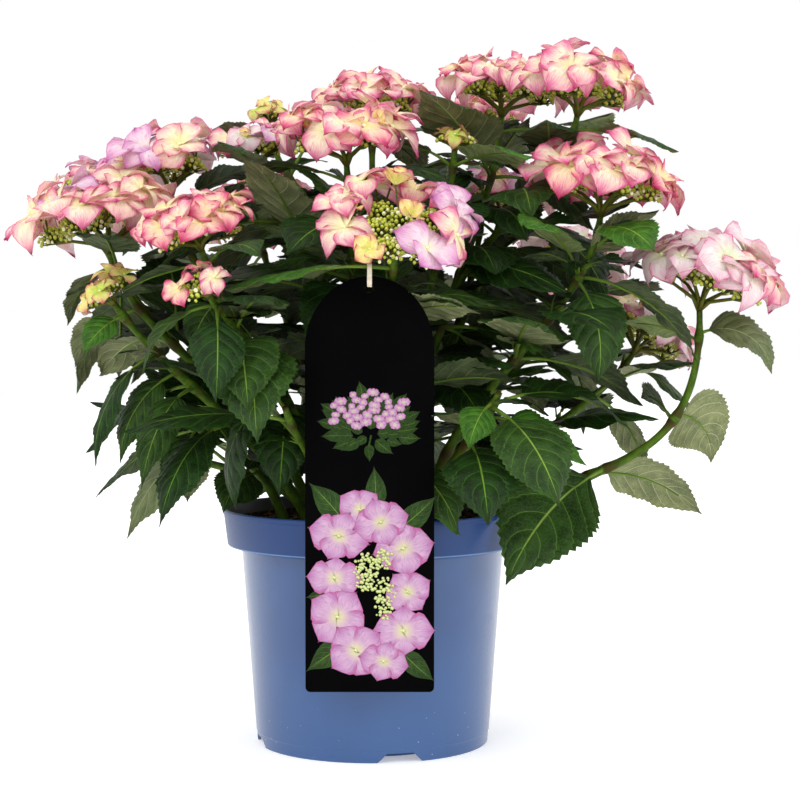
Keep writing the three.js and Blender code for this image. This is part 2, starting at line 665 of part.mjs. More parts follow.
function makeLabel() {
  const { width, height, arch, corner, thickness } = LABEL;
  // the strap's bend bears on the hole's top edge, at the corners of its width
  const bend = Math.sqrt((TIE.halfWidth - TIE.band) ** 2 - ((LABEL.forward + thickness) / 2) ** 2);
  const corners = Math.sqrt(LABEL.holeRadius ** 2 - (TIE.width / 2) ** 2);
  const holeZ = tieBottom + TIE.halfWidth - bend + GAP + 0.2 - corners;
  const top = holeZ + LABEL.holeDrop;
  const shape = new THREE.Shape();
  shape.absellipse(0, top - arch, width / 2, arch, 0, Math.PI, false, 0);
  shape.absarc(-width / 2 + corner, top - height + corner, corner, Math.PI, 1.5 * Math.PI, false);
  shape.absarc(width / 2 - corner, top - height + corner, corner, 1.5 * Math.PI, 2 * Math.PI, false);
  const hole = new THREE.Path().absarc(0, holeZ, LABEL.holeRadius, 0, 2 * Math.PI, false);
  shape.holes.push(hole);
  const card = new THREE.ExtrudeGeometry(shape, { depth: thickness, bevelEnabled: false, curveSegments: 8 });
  return solid(card.rotateX(Math.PI / 2).translate(hang.x, labelY + thickness / 2, 0));
}

const tie = makeTie();
const label = makeLabel();
claim("label tie", tie);
claim("label", label);
// The space before the label stays free, so that its face can be read.
const faceBox = new THREE.BoxGeometry(LABEL.width, 120, LABEL.height).translate(hang.x, labelY - 62, 215);
claim("label", solid(faceBox));

const pot = makePot();
claim("pot", pot);
const ground = new THREE.BoxGeometry(900, 900, 20).translate(0, 0, -9);
claim("ground", solid(ground));
const soilLid = new THREE.CylinderGeometry(POT.rimRadius - 3, POT.rimRadius - 3, 20, 24).rotateX(Math.PI / 2);
claim("soil", solid(soilLid.translate(0, 0, soilTop + SOIL.crown - 10)));

const stalkSolids = leafSolids(labelLeaf);
front.parts.push(stalkSolids.whole);
claim("front", stalkSolids.whole, stalkSolids.blade);

// Single leaves that have a place of their own.
for (const shoot of shoots) {
  for (const own of shoot.main.spec.leaves ?? []) {
    const { whole, blade } = leafSolids(leafTo(shoot.main, own));
    if (!isClear(shoot.name, whole, blade)) continue;
    shoot.parts.push(whole);
    claim(shoot.name, whole, blade);
  }
}

// Leaves in opposite pairs, each pair square to the last, from the top of every branch down.
for (let k = 0; k < MOST_PAIRS; k++) {
  for (const shoot of shoots) {
    for (const branch of shoot.branches) {
      const below = NODES.first + NODES.spacing * k * (1 + NODES.growth * k);
      const lowest = branch === shoot.main ? CANE.bare + 5 : 12;
      if (below > branch.length - lowest || k >= (branch.spec.pairs ?? MOST_PAIRS)) continue;
      for (const twin of [0, 1]) {
        for (let attempt = 0; attempt < LEAF_TRIES.length; attempt++) {
          const leaf = leafAt(branch, below, k, twin, attempt);
          if (!isWithinCrown(spineAt(leaf, leaf.petiole + leaf.length).place)) continue;
          const { whole, blade } = leafSolids(leaf);
          if (!isClear(shoot.name, whole, blade)) continue;
          shoot.parts.push(whole);
          claim(shoot.name, whole, blade);
          break;
        }
      }
    }
  }
}
const sockets = shoots.map(({ main }) => {
  const [low, high] = [-0.6 / main.length, (SOIL.socket + 30) / main.length];
  const radiusAt = (u) => main.radiusAt(u) + GAP + 0.2;
  return solid(limb(main.curve, main.side, low, high, radiusAt, CANE.sides, 2));
});

addMesh("pot", pot, bluePlastic);
addMesh("soil", makeSoil(sockets), peat);
for (const shoot of shoots) {
  addMesh("cane_" + shoot.name, shoot.cane, greenBark);
  addMesh("shoot_" + shoot.name, joined(shoot.parts), foliage);
}
addMesh("label_tie", tie, whiteStrap);
addMesh("label_card", label, blackCard);

export default group;
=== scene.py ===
import math

import bmesh
import bpy
import numpy as np
from mathutils import Matrix, Vector, kdtree, noise


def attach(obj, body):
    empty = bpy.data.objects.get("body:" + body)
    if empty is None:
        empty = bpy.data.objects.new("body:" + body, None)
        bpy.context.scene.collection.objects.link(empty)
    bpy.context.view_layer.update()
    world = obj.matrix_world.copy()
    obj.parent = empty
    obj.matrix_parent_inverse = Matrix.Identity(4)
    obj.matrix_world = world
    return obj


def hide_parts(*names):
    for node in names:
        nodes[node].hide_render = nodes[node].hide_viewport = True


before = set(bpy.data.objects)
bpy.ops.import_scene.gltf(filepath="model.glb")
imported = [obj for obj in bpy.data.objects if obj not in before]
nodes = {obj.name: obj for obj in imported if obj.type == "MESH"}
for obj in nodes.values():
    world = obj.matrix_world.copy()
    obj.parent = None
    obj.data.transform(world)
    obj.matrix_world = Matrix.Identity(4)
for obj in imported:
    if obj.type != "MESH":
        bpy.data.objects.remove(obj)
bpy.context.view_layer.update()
scene = bpy.context.scene
scene.view_settings.view_transform = "Standard"


def aimed(name, data, place, target):
    # a camera or lamp that looks at its target
    made = bpy.data.objects.new(name, data)
    made.location = place
    made.rotation_euler = (Vector(target) - Vector(place)).to_track_quat("-Z", "Y").to_euler()
    scene.collection.objects.link(made)
    return made


cameraSet = {"place": (0.021, -1.6, 0.335), "target": (0.021, 0.0, 0.262), "lens": 93.9, "sensor": 36}
cameraData = bpy.data.cameras.new("camera")
cameraData.lens, cameraData.sensor_width = cameraSet["lens"], cameraSet["sensor"]
scene.camera = aimed("camera", cameraData, cameraSet["place"], cameraSet["target"])


# materials

class Signal:
    # a socket in a material; sums on it add Math nodes
    def __init__(self, paint, socket):
        self.paint, self.socket = paint, socket

    def math(self, operation, *others):
        return self.paint.node("ShaderNodeMath", {"operation": operation}, *others)

    def __add__(self, other): return self.math("ADD", self, other)
    def __radd__(self, other): return self.math("ADD", other, self)
    def __sub__(self, other): return self.math("SUBTRACT", self, other)
    def __rsub__(self, other): return self.math("SUBTRACT", other, self)
    def __mul__(self, other): return self.math("MULTIPLY", self, other)
    def __abs__(self): return self.math("ABSOLUTE", self)
    def least(self, other): return self.math("MINIMUM", self, other)
    def most(self, other): return self.math("MAXIMUM", self, other)
    def wave(self, other): return self.math("PINGPONG", self, other)

    def ease(self, low, high):
        # 0 below low, 1 above high and smooth between
        return self.paint.node("ShaderNodeMapRange", {"interpolation_type": "SMOOTHSTEP"},
                               self, low, high, 0.0, 1.0)

    def fade(self, low, high):
        return 1.0 - self.ease(low, high)


class Paint:
    # one material, its named colours and the nodes that make it
    def __init__(self, name, tones="", codes=""):
        self.look = dict(zip(tones.split(), map(rgb, codes.split())))
        self.material = bpy.data.materials.new(name)
        self.material.use_nodes = True
        self.shader = self.material.node_tree.nodes["Principled BSDF"]

    def node(self, kind, settings=None, *values, out=0):
        made = self.material.node_tree.nodes.new(kind)
        for key, value in (settings or {}).items():
            setattr(made, key, value)
        self.fill(made, dict(enumerate(values)))
        return Signal(self, made.outputs[out])

    def fill(self, made, sockets):
        for key, value in sockets.items():
            if isinstance(value, Signal):
                self.material.node_tree.links.new(value.socket, made.inputs[key])
            elif value is not None:
                isColour = isinstance(value, tuple) and made.inputs[key].type == "RGBA"
                made.inputs[key].default_value = (*value, 1) if isColour else value

    def set(self, **sockets):
        self.fill(self.shader, {key.replace("_", " "): value for key, value in sockets.items()})
        return self.material

    def place(self):
        return self.node("ShaderNodeTexCoord", out="Object")

    def split(self, where):
        made = self.node("ShaderNodeSeparateXYZ", None, where).socket.node
        return [Signal(self, socket) for socket in made.outputs]

    def ownUv(self):
        # the piece's own map, split: across and along
        return self.split(self.node("ShaderNodeUVMap", {"uv_map": "OFBake"}))[:2]

    def join(self, x, y, z=0.0):
        return self.node("ShaderNodeCombineXYZ", None, x, y, z)

    def stretch(self, where, rotation, scale):
        return self.node("ShaderNodeMapping", {"vector_type": "TEXTURE"}, where, None, rotation, scale)

    def noise(self, where, scale, detail=3.0, roughness=0.55):
        return self.node("ShaderNodeTexNoise", None, where, None, scale, detail, roughness)

    def cells(self, where, scale, feature="F1"):
        return self.node("ShaderNodeTexVoronoi", {"feature": feature}, where, None, scale)

    def layers(self, base, *coats):
        # a base colour under others, each laid on by its amount
        colour = self.look.get(base, base)
        for amount, tone in coats:
            made = self.node("ShaderNodeMix", {"data_type": "RGBA"}, out=2)
            self.fill(made.socket.node, {0: amount, 6: colour, 7: self.look.get(tone, tone)})
            colour = made
        return colour

    def bump(self, height, distance, strength):
        made = self.node("ShaderNodeBump")
        self.fill(made.socket.node, {"Strength": strength, "Distance": distance, "Height": height})
        return made


def rgb(code):
    # the linear colour of a usual six-figure code
    values = [int(code[i:i + 2], 16) / 255 for i in (0, 2, 4)]
    return tuple(v / 12.92 if v <= 0.04045 else ((v + 0.055) / 1.055) ** 2.4 for v in values)


def leafPaint(name, codes):
    paint = Paint(name, "deep light vein midrib back backLight backVein", codes)
    u, v = paint.ownUv()
    isBack = u.ease(0.4999, 0.5001)
    across = abs((u * 4.0).wave(2.0) - 1.0)  # 0 on the midrib, 1 at the edge, on either side
    # side veins leave the midrib forwards and sweep on towards the tip
    run = v * float(leafSet["veins"]) - across * (across * leafSet["sweep"] + leafSet["slant"])
    between = run.wave(0.5) * 2.0
    vein = between.fade(0.015, 0.085) * across.fade(0.72, 0.96)
    midrib = across.fade(0.01, 0.036)
    where = paint.join(u * 5.0, v * 4.0)
    patch = paint.noise(where, 1.3)
    cells = paint.cells(where, 9.0, "DISTANCE_TO_EDGE").ease(0.0, 0.09)
    net = 1.0 - cells
    face = paint.layers("deep", (patch.ease(0.3, 0.72), "light"), (between.fade(0.0, 0.5) * 0.3, "light"),
                        (net * 0.16, "vein"), (vein * 0.62, "vein"), (midrib * 0.66, "midrib"),
                        (across.ease(0.9, 1.0) * 0.25, "vein"))
    back = paint.layers("back", (patch.ease(0.3, 0.75), "backLight"), (net * 0.2, "backVein"),
                        (vein.most(midrib) * 0.7, "backVein"))
    height = between.ease(0.0, 0.8) * 0.6 - midrib * 0.6 - vein * 0.25 + cells * 0.16 + patch * 0.2
    return paint.set(Base_Color=paint.layers(face, (isBack, back)), Specular_IOR_Level=0.22,
                     Roughness=patch * 0.12 + isBack * 0.2 + 0.42,
                     Normal=paint.bump(height * (1.0 - isBack * 1.8), 0.0012, 0.9))


def sepalPaint(name, codes, rimStart, rimShow, heartEnd, paintedGlow):
    paint = Paint(name, "pale body heart veins rim", codes)
    u, v = paint.ownUv()
    side = abs(u * 2.0 - 1.0)
    edge = (side * (v.ease(0.0, 0.4) * 0.4 + 0.6)).most(v)
    mottle = paint.noise(paint.join(u * 2.0, v * 2.0, 3.0), 2.2)
    fan = paint.join((u - 0.5) * (1.6 - v) * 12.0, v * 1.3)
    veins = paint.noise(fan, 3.4, 2.0).ease(0.5, 0.66) * v.ease(0.05, 0.4)
    drift = (paint.noise(fan, 2.6) - 0.5) * 0.5 + (mottle - 0.5) * 0.3
    # a pale heart, pinker outwards in streaks, and a dark margin
    margin = (edge + drift * 0.5).ease(rimStart, 1.0) * rimShow
    colour = paint.layers("pale", ((edge + drift).ease(0.4, 0.9), "body"),
                          ((v + side * 0.12).fade(0.02, heartEnd), "heart"),
                          (veins * 0.4, "veins"), (margin, "rim"))
    height = veins * 0.5 - side.fade(0.0, 0.12) * 0.5
    # the emission is a painted glow: the sepals light themselves to lift their shade
    return paint.set(Base_Color=colour, Roughness=0.6 + mottle * 0.14, Specular_IOR_Level=0.25,
                     Normal=paint.bump(height, 0.0008, 0.6), Subsurface_Weight=0.35,
                     Subsurface_Scale=0.004, Subsurface_Radius=(1.0, 0.5, 0.55),
                     Emission_Color=colour, Emission_Strength=paintedGlow)


def stemPaint(name, codes):
    paint = Paint(name, "green light old flush speck", codes)
    around, along = paint.ownUv()
    where = paint.join(around * 4.0, along * 3.0)
    streak = paint.noise(paint.join(around * 30.0, along * 2.0), 1.6)
    patch = paint.noise(where, 1.7)
    nearNode = along.wave(0.5).fade(0.03, 0.26)
    dots = paint.cells(where, 14.0).fade(0.05, 0.26)
    flush = (nearNode * 0.7 + patch.ease(0.55, 0.75) * 0.3).least(1.0)
    colour = paint.layers("green", (patch.ease(0.3, 0.72), "light"), (streak.ease(0.52, 0.8) * 0.5, "old"),
                          (flush, "flush"), (dots * 0.5, "speck"))
    return paint.set(Base_Color=colour, Roughness=0.48 + streak * 0.2, Specular_IOR_Level=0.16,
                     Normal=paint.bump(streak * 0.5 + patch * 0.3 + dots * 0.4, 0.0005, 0.8))


def beadPaint(name, codes, paintedGlow):
    paint = Paint(name, "deep light", codes)
    u, v = paint.ownUv()
    tone = paint.noise(paint.join(u * 3.0, v * 3.0), 1.4)
    colour = paint.layers("deep", ((tone + v * 0.5).ease(0.45, 0.95), "light"))
    # the emission is a painted glow that lifts the buds' shade
    return paint.set(Base_Color=colour, Roughness=0.46 + tone * 0.2, Normal=paint.bump(tone, 0.0003, 0.5),
                     Emission_Color=colour, Emission_Strength=paintedGlow)


# growing: the plant's build, in millimetres

def shoot(turn, reach, rise, lean, phase, spread=0, florets=0, kind="", arch=0, **more):
    # a stem and where its head stands; leaves give below, tip, droop, roll, stalk and width
    return dict(turn=turn, reach=reach, rise=rise, lean=lean, phase=phase, spread=spread,
                florets=florets, kind=kind, arch=arch, **more)


shootSet = {
    "front": shoot(-82, 139, 390, 36, 60, 123, 10, "mixed", 0.15, footTurn=-84, openTo=-112),
    "top_right": shoot(14, 104, 502, 4, 20, 112, 9, "rosy",
                       forks=[shoot(-9, 159, 498, 8, 70, 112, 9, "rosy", at=0.52)]),
    "top_centre": shoot(91, 70, 494, 2, 35, 106, 9, "rosy",
                        forks=[shoot(128, 140, 490, 6, 10, 46, 4, "young", at=0.5)]),
    "crown_left": shoot(-114, 49, 461, 8, 0, 118, 10, "rosy",
                        forks=[shoot(174, 91, 456, 4, 50, 80, 5, "lilac", at=0.45)]),
    "left_high": shoot(172, 161, 442, 8, 80, 122, 10, "lilac", 0.05),
    "left_far": shoot(-174, 205, 400, 12, 25, 138, 11, "peachy", 0.1,
                      forks=[shoot(162, 250, 432, 24, 75, 62, 4, "peachy", at=0.55)]),
    "left_mid": shoot(-142, 161, 392, 20, 40, 98, 8, "deep", 0.15,
                      forks=[shoot(-131, 180, 350, 40, 5, 60, 3, "deep", at=0.62)],
                      leaves=[(136, (-65, -84, 195), 56, 0, 12), (40, (-127, -110, 301), 60, -40, 12)]),
    "young_left": shoot(-161, 206, 345, 34, 65, 58, 5, "young", 0.35,
                        leaves=[(70, (-186, -80, 219), 64, -30, 14, 0.6), (12, (-211, -82, 299), 40, -40, 8),
                                (84, (-216, -30, 224), 44, -20, 14, 0.74)]),
    "right_mid": shoot(-22, 183, 424, 5, 30, 126, 10, "deep", 0.1,
                       leaves=[(52, (166, -84, 278), 70, 20, 14)]),
    "young_mid": shoot(-27, 70, 459, 4, 85, 42, 3, "young"),
    "right_low": shoot(-11, 254, 356, 14, 0, 134, 11, "blush", 1.25, arrive=-2, pull=0.52, pairs=0,
                       leaves=[(20, (297, -58, 284), 112, 26, 9, 1.1), (24, (185, -20, 321), 36, 30, 8),
                               (84, (259, -16, 215), 100, -56, 9, 1.4), (88, (206, 6, 264), 54, 48, 9, 1.2),
                               (150, (95, -92, 133), 40, -44, 18, 1.12),
                               (164, (252, 1, 173), 56, -42, 16, 0.76)]),
    "right_back": shoot(16, 226, 313, 34, 50, 106, 8, "blush", 0.6),
    "back_mid": shoot(46, 152, 422, 16, 15, 96, 7, "lilac", 0.05,
                      forks=[shoot(55, 165, 492, 4, 60, 78, 6, "rosy", at=0.5)]),
    "back_left": shoot(122, 190, 410, 24, 70, 120, 8, "rosy", 0.2),
    "back_centre": shoot(88, 196, 400, 28, 45, 120, 8, "lilac", 0.2),
    "back_right": shoot(45, 232, 368, 30, 20, 112, 8, "blush", 0.4),
    "young_low": shoot(151, 208, 243, 30, 10, 50, 4, "young", 0.5),
    "low_front_left": shoot(-118, 130, 262, 30, 30, arch=0.3, footReach=58),
    "low_front_right": shoot(-48, 138, 272, 30, 75, arch=0.3, footReach=58,
                             leaves=[(10, (68, -140, 234), 50, -30, 12), (24, (156, -104, 220), 44, 30, 18)]),
    "low_left": shoot(-178, 140, 250, 34, 0, arch=0.3, footReach=64,
                      leaves=[(10, (-152, -40, 186), 40, -40, 14, 0.8)]),
    "low_back": shoot(104, 136, 262, 32, 55, arch=0.3, footReach=60),
}
# small leaves under some heads
smallLeaves = [("crown_left", (40, (-58, -52, 436), 50, -30, 7)),
               ("crown_left", (44, (24, -52, 444), 50, 30, 7)),
               ("right_mid", (34, (210, -72, 405), 36, -30, 6)),
               ("top_centre", (70, (-38, 20, 440), 50, -30, 8)),
               ("top_right", (64, (60, -6, 440), 50, -30, 8)),
               ("front", (60, (78, -120, 330), 50, -30, 8)),
               ("low_left", (24, (-182, -40, 159), 60, -30, 14, 0.6)),
               ("low_left", (70, (-112, -60, 182), 60, -30, 12))]
potSet = {
    "height": 180, "rimRadius": 115, "rimBand": 28, "bandTaper": 3.6, "neckRadius": 100.6,
    "footRadius": 88.6, "wall": 2.2, "footInner": 66, "channel": 8, "steps": 144,
    "notchTurn": -76, "notchWidth": 34, "notchSlant": 7, "notchHeight": 7, "notchDepth": 8,
}
soilSet = {"below": 10, "crown": 3, "socket": 18, "rings": 34, "steps": 120, "inset": 0.5,
           "crumbs": 900, "fibres": 260}
caneSet = {"footRadius": 4.4, "tipRadius": 2.3, "bare": 62, "leastClimb": 72, "inner": 10, "share": 0.17,
           "pull": 0.3, "mostPairs": 14, "forkTaper": 0.8, "clear": 5, "forkClear": 12}
stemSet = {"step": 46, "gap": 0.3, "sides": 10, "ringStep": 5.0}
leafSet = {
    "least": 60, "most": 106, "growth": 0.5, "width": 0.64, "petiole": 0.2, "lowShoots": 60, "spread": 56,
    "outward": 0.25, "stray": 24, "sizeStray": 0.24, "sag": 8, "leastClimb": -50, "mostClimb": 58,
    "droop": 30, "droopStray": 36, "droopBelow": 0.05, "roll": 36,
    "fold": 10, "foldStray": 12, "curl": 0.07, "veins": 7, "slant": 1.2, "sweep": 1.0, "quilt": 0.016,
    "warp": 0.03, "ruffle": 0.012, "sway": 0.09, "twist": 18, "thick": 0.4,
}
leafTries = [(0, 0, 1), (24, 6, 1), (-24, -6, 1), (44, -14, 0.9), (-44, 14, 0.9), (12, 30, 0.85),
             (-12, -26, 0.8), (66, 20, 0.8), (-66, 34, 0.8)]
nodeSet = {"first": 14, "spacing": 34, "growth": 0.04}
headSet = {"rayRise": 0.18, "coreRadius": 0.3, "clusters": 8, "youngClusters": 5, "young": 70, "buds": 30,
           "dome": 0.075, "paleBuds": 0.24}
floretSet = {
    "size": 0.34, "sizeStray": 0.28, "cup": 0.16, "stray": 16, "ringTilt": 23, "ringTiltStray": 22,
    "innerTilt": 8, "innerTiltStray": 14, "rows": 7, "columns": 4, "thick": 0.35, "hollow": 0.1,
    "overlap": 13, "sway": 0.28, "fifth": 0.85, "flare": 40, "flareStray": 22, "recurve": -0.95,
    "faceOut": 4, "innerFaceOut": 6, "inset": 4,
}
labelLeafSet = {"below": 14, "turn": 180, "climb": 6, "droop": 26, "petiole": 34, "length": 88}
soilTop = potSet["height"] - soilSet["below"]
up, east, north = np.eye(3)[[2, 0, 1]]
golden = 137.5  # degrees from one seat of a spiral to the next
mm = 0.001


def turned(a, b, degrees):
    # the direction that lies this far round from a towards b
    angle = math.radians(degrees)
    return a * math.cos(angle) + b * math.sin(angle)


def heading(turn):
    return turned(east, north, turn)


def unit(v):
    return v / np.linalg.norm(v)


def chance(a, b, c):
    # the same number from 0 to 1 for the same keys
    v = math.sin(a * 12.9898 + b * 78.233 + c * 37.719) * 43758.5453
    return v - math.floor(v)


class Path:
    # a cubic curve that is measured by its length
    def __init__(self, a, b, c, d):
        self.ends = (a, b, c, d)
        self.times = np.linspace(0, 1, 201)
        spots = np.array([self.spot(t) for t in self.times])
        self.lengths = np.concatenate([[0], np.cumsum(np.linalg.norm(np.diff(spots, axis=0), axis=1))])
        self.length = self.lengths[-1]

    def spot(self, t):
        a, b, c, d = self.ends
        s = 1 - t
        return s * s * s * a + 3 * s * s * t * b + 3 * s * t * t * c + t * t * t * d

    def time(self, u):
        return np.interp(u * self.length, self.lengths, self.times)

    def at(self, u):
        return self.spot(self.time(u))

    def way(self, u):
        t = self.time(u)
        return unit(self.spot(min(1, t + 1e-4)) - self.spot(max(0, t - 1e-4)))


class Branch:
    def __init__(self, spec, index, parent=None):
        self.spec, self.index, self.isMain = spec, index, parent is None
        self.out = heading(spec["turn"])
        self.side = np.cross(up, self.out)
        self.axis = turned(up, self.out, spec["lean"])
        self.over = np.cross(self.axis, self.side)
        self.centre = self.out * spec["reach"] + up * spec["rise"]
        self.spread = spec["spread"]
        self.top = self.centre - self.axis * headSet["rayRise"] * self.spread
        if parent:
            foot = parent.onStem(spec["at"])
            first = foot + parent.path.way(spec["at"]) * np.linalg.norm(self.top - foot) * 0.4
        else:
            ring = spec.get("footReach", caneSet["inner"] + caneSet["share"] * spec["reach"])
            foot = heading(spec.get("footTurn", spec["turn"])) * ring + up * (soilTop - soilSet["socket"])
            climb = max((self.top[2] - foot[2]) * (0.5 - 0.22 * spec["arch"]), caneSet["leastClimb"])
            first = foot + self.out * spec["reach"] * 0.32 * spec["arch"] + up * climb
        arrival = turned(up, self.out, spec.get("arrive", spec["lean"]))
        last = self.top - arrival * np.linalg.norm(self.top - foot) * spec.get("pull", caneSet["pull"])
        self.path = Path(foot, first, last, self.top)
        self.length = self.path.length
        self.footRadius = caneSet["footRadius"]
        if parent:
            self.footRadius = parent.radius(spec["at"]) * caneSet["forkTaper"]
        self.start = 0 if parent else (caneSet["bare"] + stemSet["gap"]) / self.length
        self.steps = max(2, round((1 - self.start) * self.length / stemSet["step"] + 1e-9))
        self.leafSpots = []

    def radius(self, u):
        return self.footRadius + (caneSet["tipRadius"] - self.footRadius) * u

    def around(self, degrees):
        # a direction out from the middle of the head
        return turned(self.side, self.over, degrees)

    def onStem(self, u):
        # a place on the middle of a stem made of straight lengths, as the solids are
        t = (u - self.start) / (1 - self.start) * self.steps
        i = min(self.steps - 1, max(0, math.floor(t)))
        joint = lambda j: self.path.at(min(1, self.start + (1 - self.start) * j / self.steps))
        low, high = joint(i), joint(i + 1)
        return low + (high - low) * (t - i)


class Leaf:
    def __init__(self, root, out, climb, droop, roll, petiole, length, wide=1.0):
        self.root, self.out, self.climb, self.droop = root, out, climb, droop
        self.roll, self.petiole, self.length, self.wide = roll, petiole, length, wide

    def along(self, distance):
        # places, and the three directions there, at distances from the stem's middle
        d = np.atleast_1d(np.asarray(distance, float))
        turnBy = math.radians(self.droop) / (self.petiole + self.length)
        e0 = math.radians(self.climb)
        e = e0 - turnBy * d
        ahead, above = (math.sin(e0) - np.sin(e)) / turnBy, (np.cos(e) - math.cos(e0)) / turnBy
        places = self.root + ahead[:, None] * self.out + above[:, None] * up
        tangents = np.cos(e)[:, None] * self.out + np.sin(e)[:, None] * up
        level = np.cross(self.out, up)
        levels = turned(level, np.cross(tangents, level), self.roll)
        return places, tangents, levels, np.cross(levels, tangents)

    def tip(self):
        return self.along(self.petiole + self.length)[0][0]


def leafAt(branch, below, k, twin, attempt):
    aside, steeper, share = leafTries[attempt]
    u = 1 - below / branch.length
    along = branch.path.way(u)
    across = unit(branch.side - along * branch.side.dot(along))
    over = np.cross(along, across)
    draw = lambda n: chance(branch.index, k, twin + n)
    around = branch.spec["phase"] + 90 * k + 180 * twin + aside + leafSet["stray"] * (draw(0) - 0.5)
    way = turned(along, turned(across, over, around), leafSet["spread"])
    way = unit(way + branch.out * leafSet["outward"])
    out = unit(np.array([way[0], way[1], 0.0]))
    rise = math.degrees(math.asin(way[2])) - leafSet["sag"] - steeper * 0.4
    climb = min(leafSet["mostClimb"], max(leafSet["leastClimb"], rise))
    age = below if branch.spread else below + leafSet["lowShoots"]
    grown = min(leafSet["least"] + leafSet["growth"] * age, leafSet["most"])
    length = grown * share * (1 + leafSet["sizeStray"] * (draw(2) - 0.5))
    droop = leafSet["droop"] + leafSet["droopStray"] * draw(4) + leafSet["droopBelow"] * below + steeper
    return Leaf(branch.onStem(u), out, climb, max(12, droop), leafSet["roll"] * (draw(6) - 0.5),
                8 + length * leafSet["petiole"], length)


def leafTo(branch, below, tip, droop, roll, petiole, wide=1.0):
    # a leaf that runs from its stem to a given tip
    root = branch.onStem(1 - below / branch.length)
    way = np.array(tip) - root
    halfBend = math.radians(droop / 2)
    length = np.linalg.norm(way) * halfBend / math.sin(halfBend) - petiole
    climb = math.degrees(math.asin(way[2] / np.linalg.norm(way))) + droop / 2
    return Leaf(root, unit(np.array([way[0], way[1], 0.0])), climb, droop, roll, petiole, length, wide)


def floretSeats(branch):
    spread, florets, key = branch.spread, branch.spec["florets"], branch.index + 0.5
    inner = max(0, math.floor(florets * 0.3 - 0.6 + 0.5))
    seats = []
    for i in range(florets):
        ringed = i >= inner
        count = florets - inner if ringed else inner
        stray = floretSet["stray"] * (chance(key, i, 1) - 0.5)
        out = branch.around(branch.spec["phase"] + 360 / count * i + (0 if ringed else 40) + stray)
        size = floretSet["size"] * max(spread, 0.75 * spread + 22.5)
        size *= 1 + floretSet["sizeStray"] * (chance(key, i, 2) - 0.5)
        seat = "ring" if ringed else "inner"
        tip = floretSet[seat + "Tilt"] + floretSet[seat + "TiltStray"] * chance(key, i, 3)
        far = spread / 2 - size / 2 * math.cos(math.radians(tip)) if ringed else spread * 0.17
        high = (0.03 + 0.06 * chance(key, i, 4) if ringed else 0.17) * spread
        seats.append(dict(place=branch.centre + out * far + branch.axis * high, out=out, size=size,
                          normal=turned(branch.axis, out, tip), turn=360 * chance(key, i, 5), ringed=ringed))
    return seats


def faceOf(seat):
    # the two directions across a floret
    a = unit(np.cross(seat["normal"], seat["out"]))
    return a, np.cross(seat["normal"], a)


def tipsOf(name):
    # the corners of a node's solid, to look up which leaves and florets it has
    corners = nodes[name].data.vertices
    tree = kdtree.KDTree(len(corners))
    for i, corner in enumerate(corners):
        tree.insert(corner.co / mm, i)
    tree.balance()
    return lambda p, reach=0.2: tree.find(Vector(p))[2] < reach


def grow(leaf, branch, below, key):
    # keep a leaf, with how far it is below the stem's top
    leaf.branch, leaf.below, leaf.key = branch, below, key
    leaves.append(leaf)


shoots, leaves, heads = {}, [], []
for i, (name, spec) in enumerate(shootSet.items()):
    main = Branch(spec, i + 1)
    forks = [Branch(fork, i + 1 + 30 * (f + 1), main) for f, fork in enumerate(spec.get("forks", []))]
    shoots[name] = [main, *forks]

for name, branches in shoots.items():
    isCorner = tipsOf("shoot_" + name)
    for branch in branches:
        lowest = caneSet["bare"] + caneSet["clear"] if branch.isMain else caneSet["forkClear"]
        for own in branch.spec.get("leaves", []):
            leaf = leafTo(branch, *own)
            if isCorner(leaf.tip()):
                branch.leafSpots.append(1 - own[0] / branch.length)
                grow(leaf, branch, own[0], (branch.index, 20 + len(leaves), 0))
        for k in range(branch.spec.get("pairs", caneSet["mostPairs"])):
            below = nodeSet["first"] + nodeSet["spacing"] * k * (1 + nodeSet["growth"] * k)
            if below > branch.length - lowest:
                continue
            branch.leafSpots.append(1 - below / branch.length)
            for twin in (0, 1):
                tries = (leafAt(branch, below, k, twin, attempt) for attempt in range(len(leafTries)))
                leaf = next((leaf for leaf in tries if isCorner(leaf.tip())), None)
                if leaf:
                    grow(leaf, branch, below, (branch.index, k, twin))
        if branch.spread:
            seats = []
            for seat in floretSeats(branch):
                a, b = faceOf(seat)
                lobes = 0
                for j in range(8):
                    share, lift = (0.8, 0.6) if j % 2 else (1, 1)
                    way = turned(a, b, seat["turn"] + 45 * j) * share / 2
                    lobes += isCorner(seat["place"] + (way + seat["normal"] * floretSet["cup"] * lift)
                                      * seat["size"])
                if lobes:
                    seats.append(seat)
            heads.append((branch, seats))
front = shoots["front"][0]
label = labelLeafSet
labelLeaf = Leaf(front.onStem(1 - label["below"] / front.length), heading(label["turn"]), label["climb"],
                 label["droop"], 0, label["petiole"], label["length"])
grow(labelLeaf, front, label["below"], (front.index, 20, 0))
for i, (name, spec) in enumerate(smallLeaves):
    grow(leafTo(shoots[name][0], *spec), shoots[name][0], spec[0], (60 + i, 0, 0))
print("growth:", len(leaves), "leaves,", len(heads), "heads,", sum(len(s) for _, s in heads), "florets")


# small repeated shapes

def vertsOf(result):
    return [g for g in result["geom"] if isinstance(g, bmesh.types.BMVert)]


def harvest(bm):
    # a template's corners, the corner of each face in turn, and each face's count of them
    bm.verts.index_update()
    spots = np.array([v.co[:] for v in bm.verts])
    loops = np.array([v.index for f in bm.faces for v in f.verts])
    sizes = np.array([len(f.verts) for f in bm.faces])
    bm.free()
    return {"spots": spots, "loops": loops, "sizes": sizes}


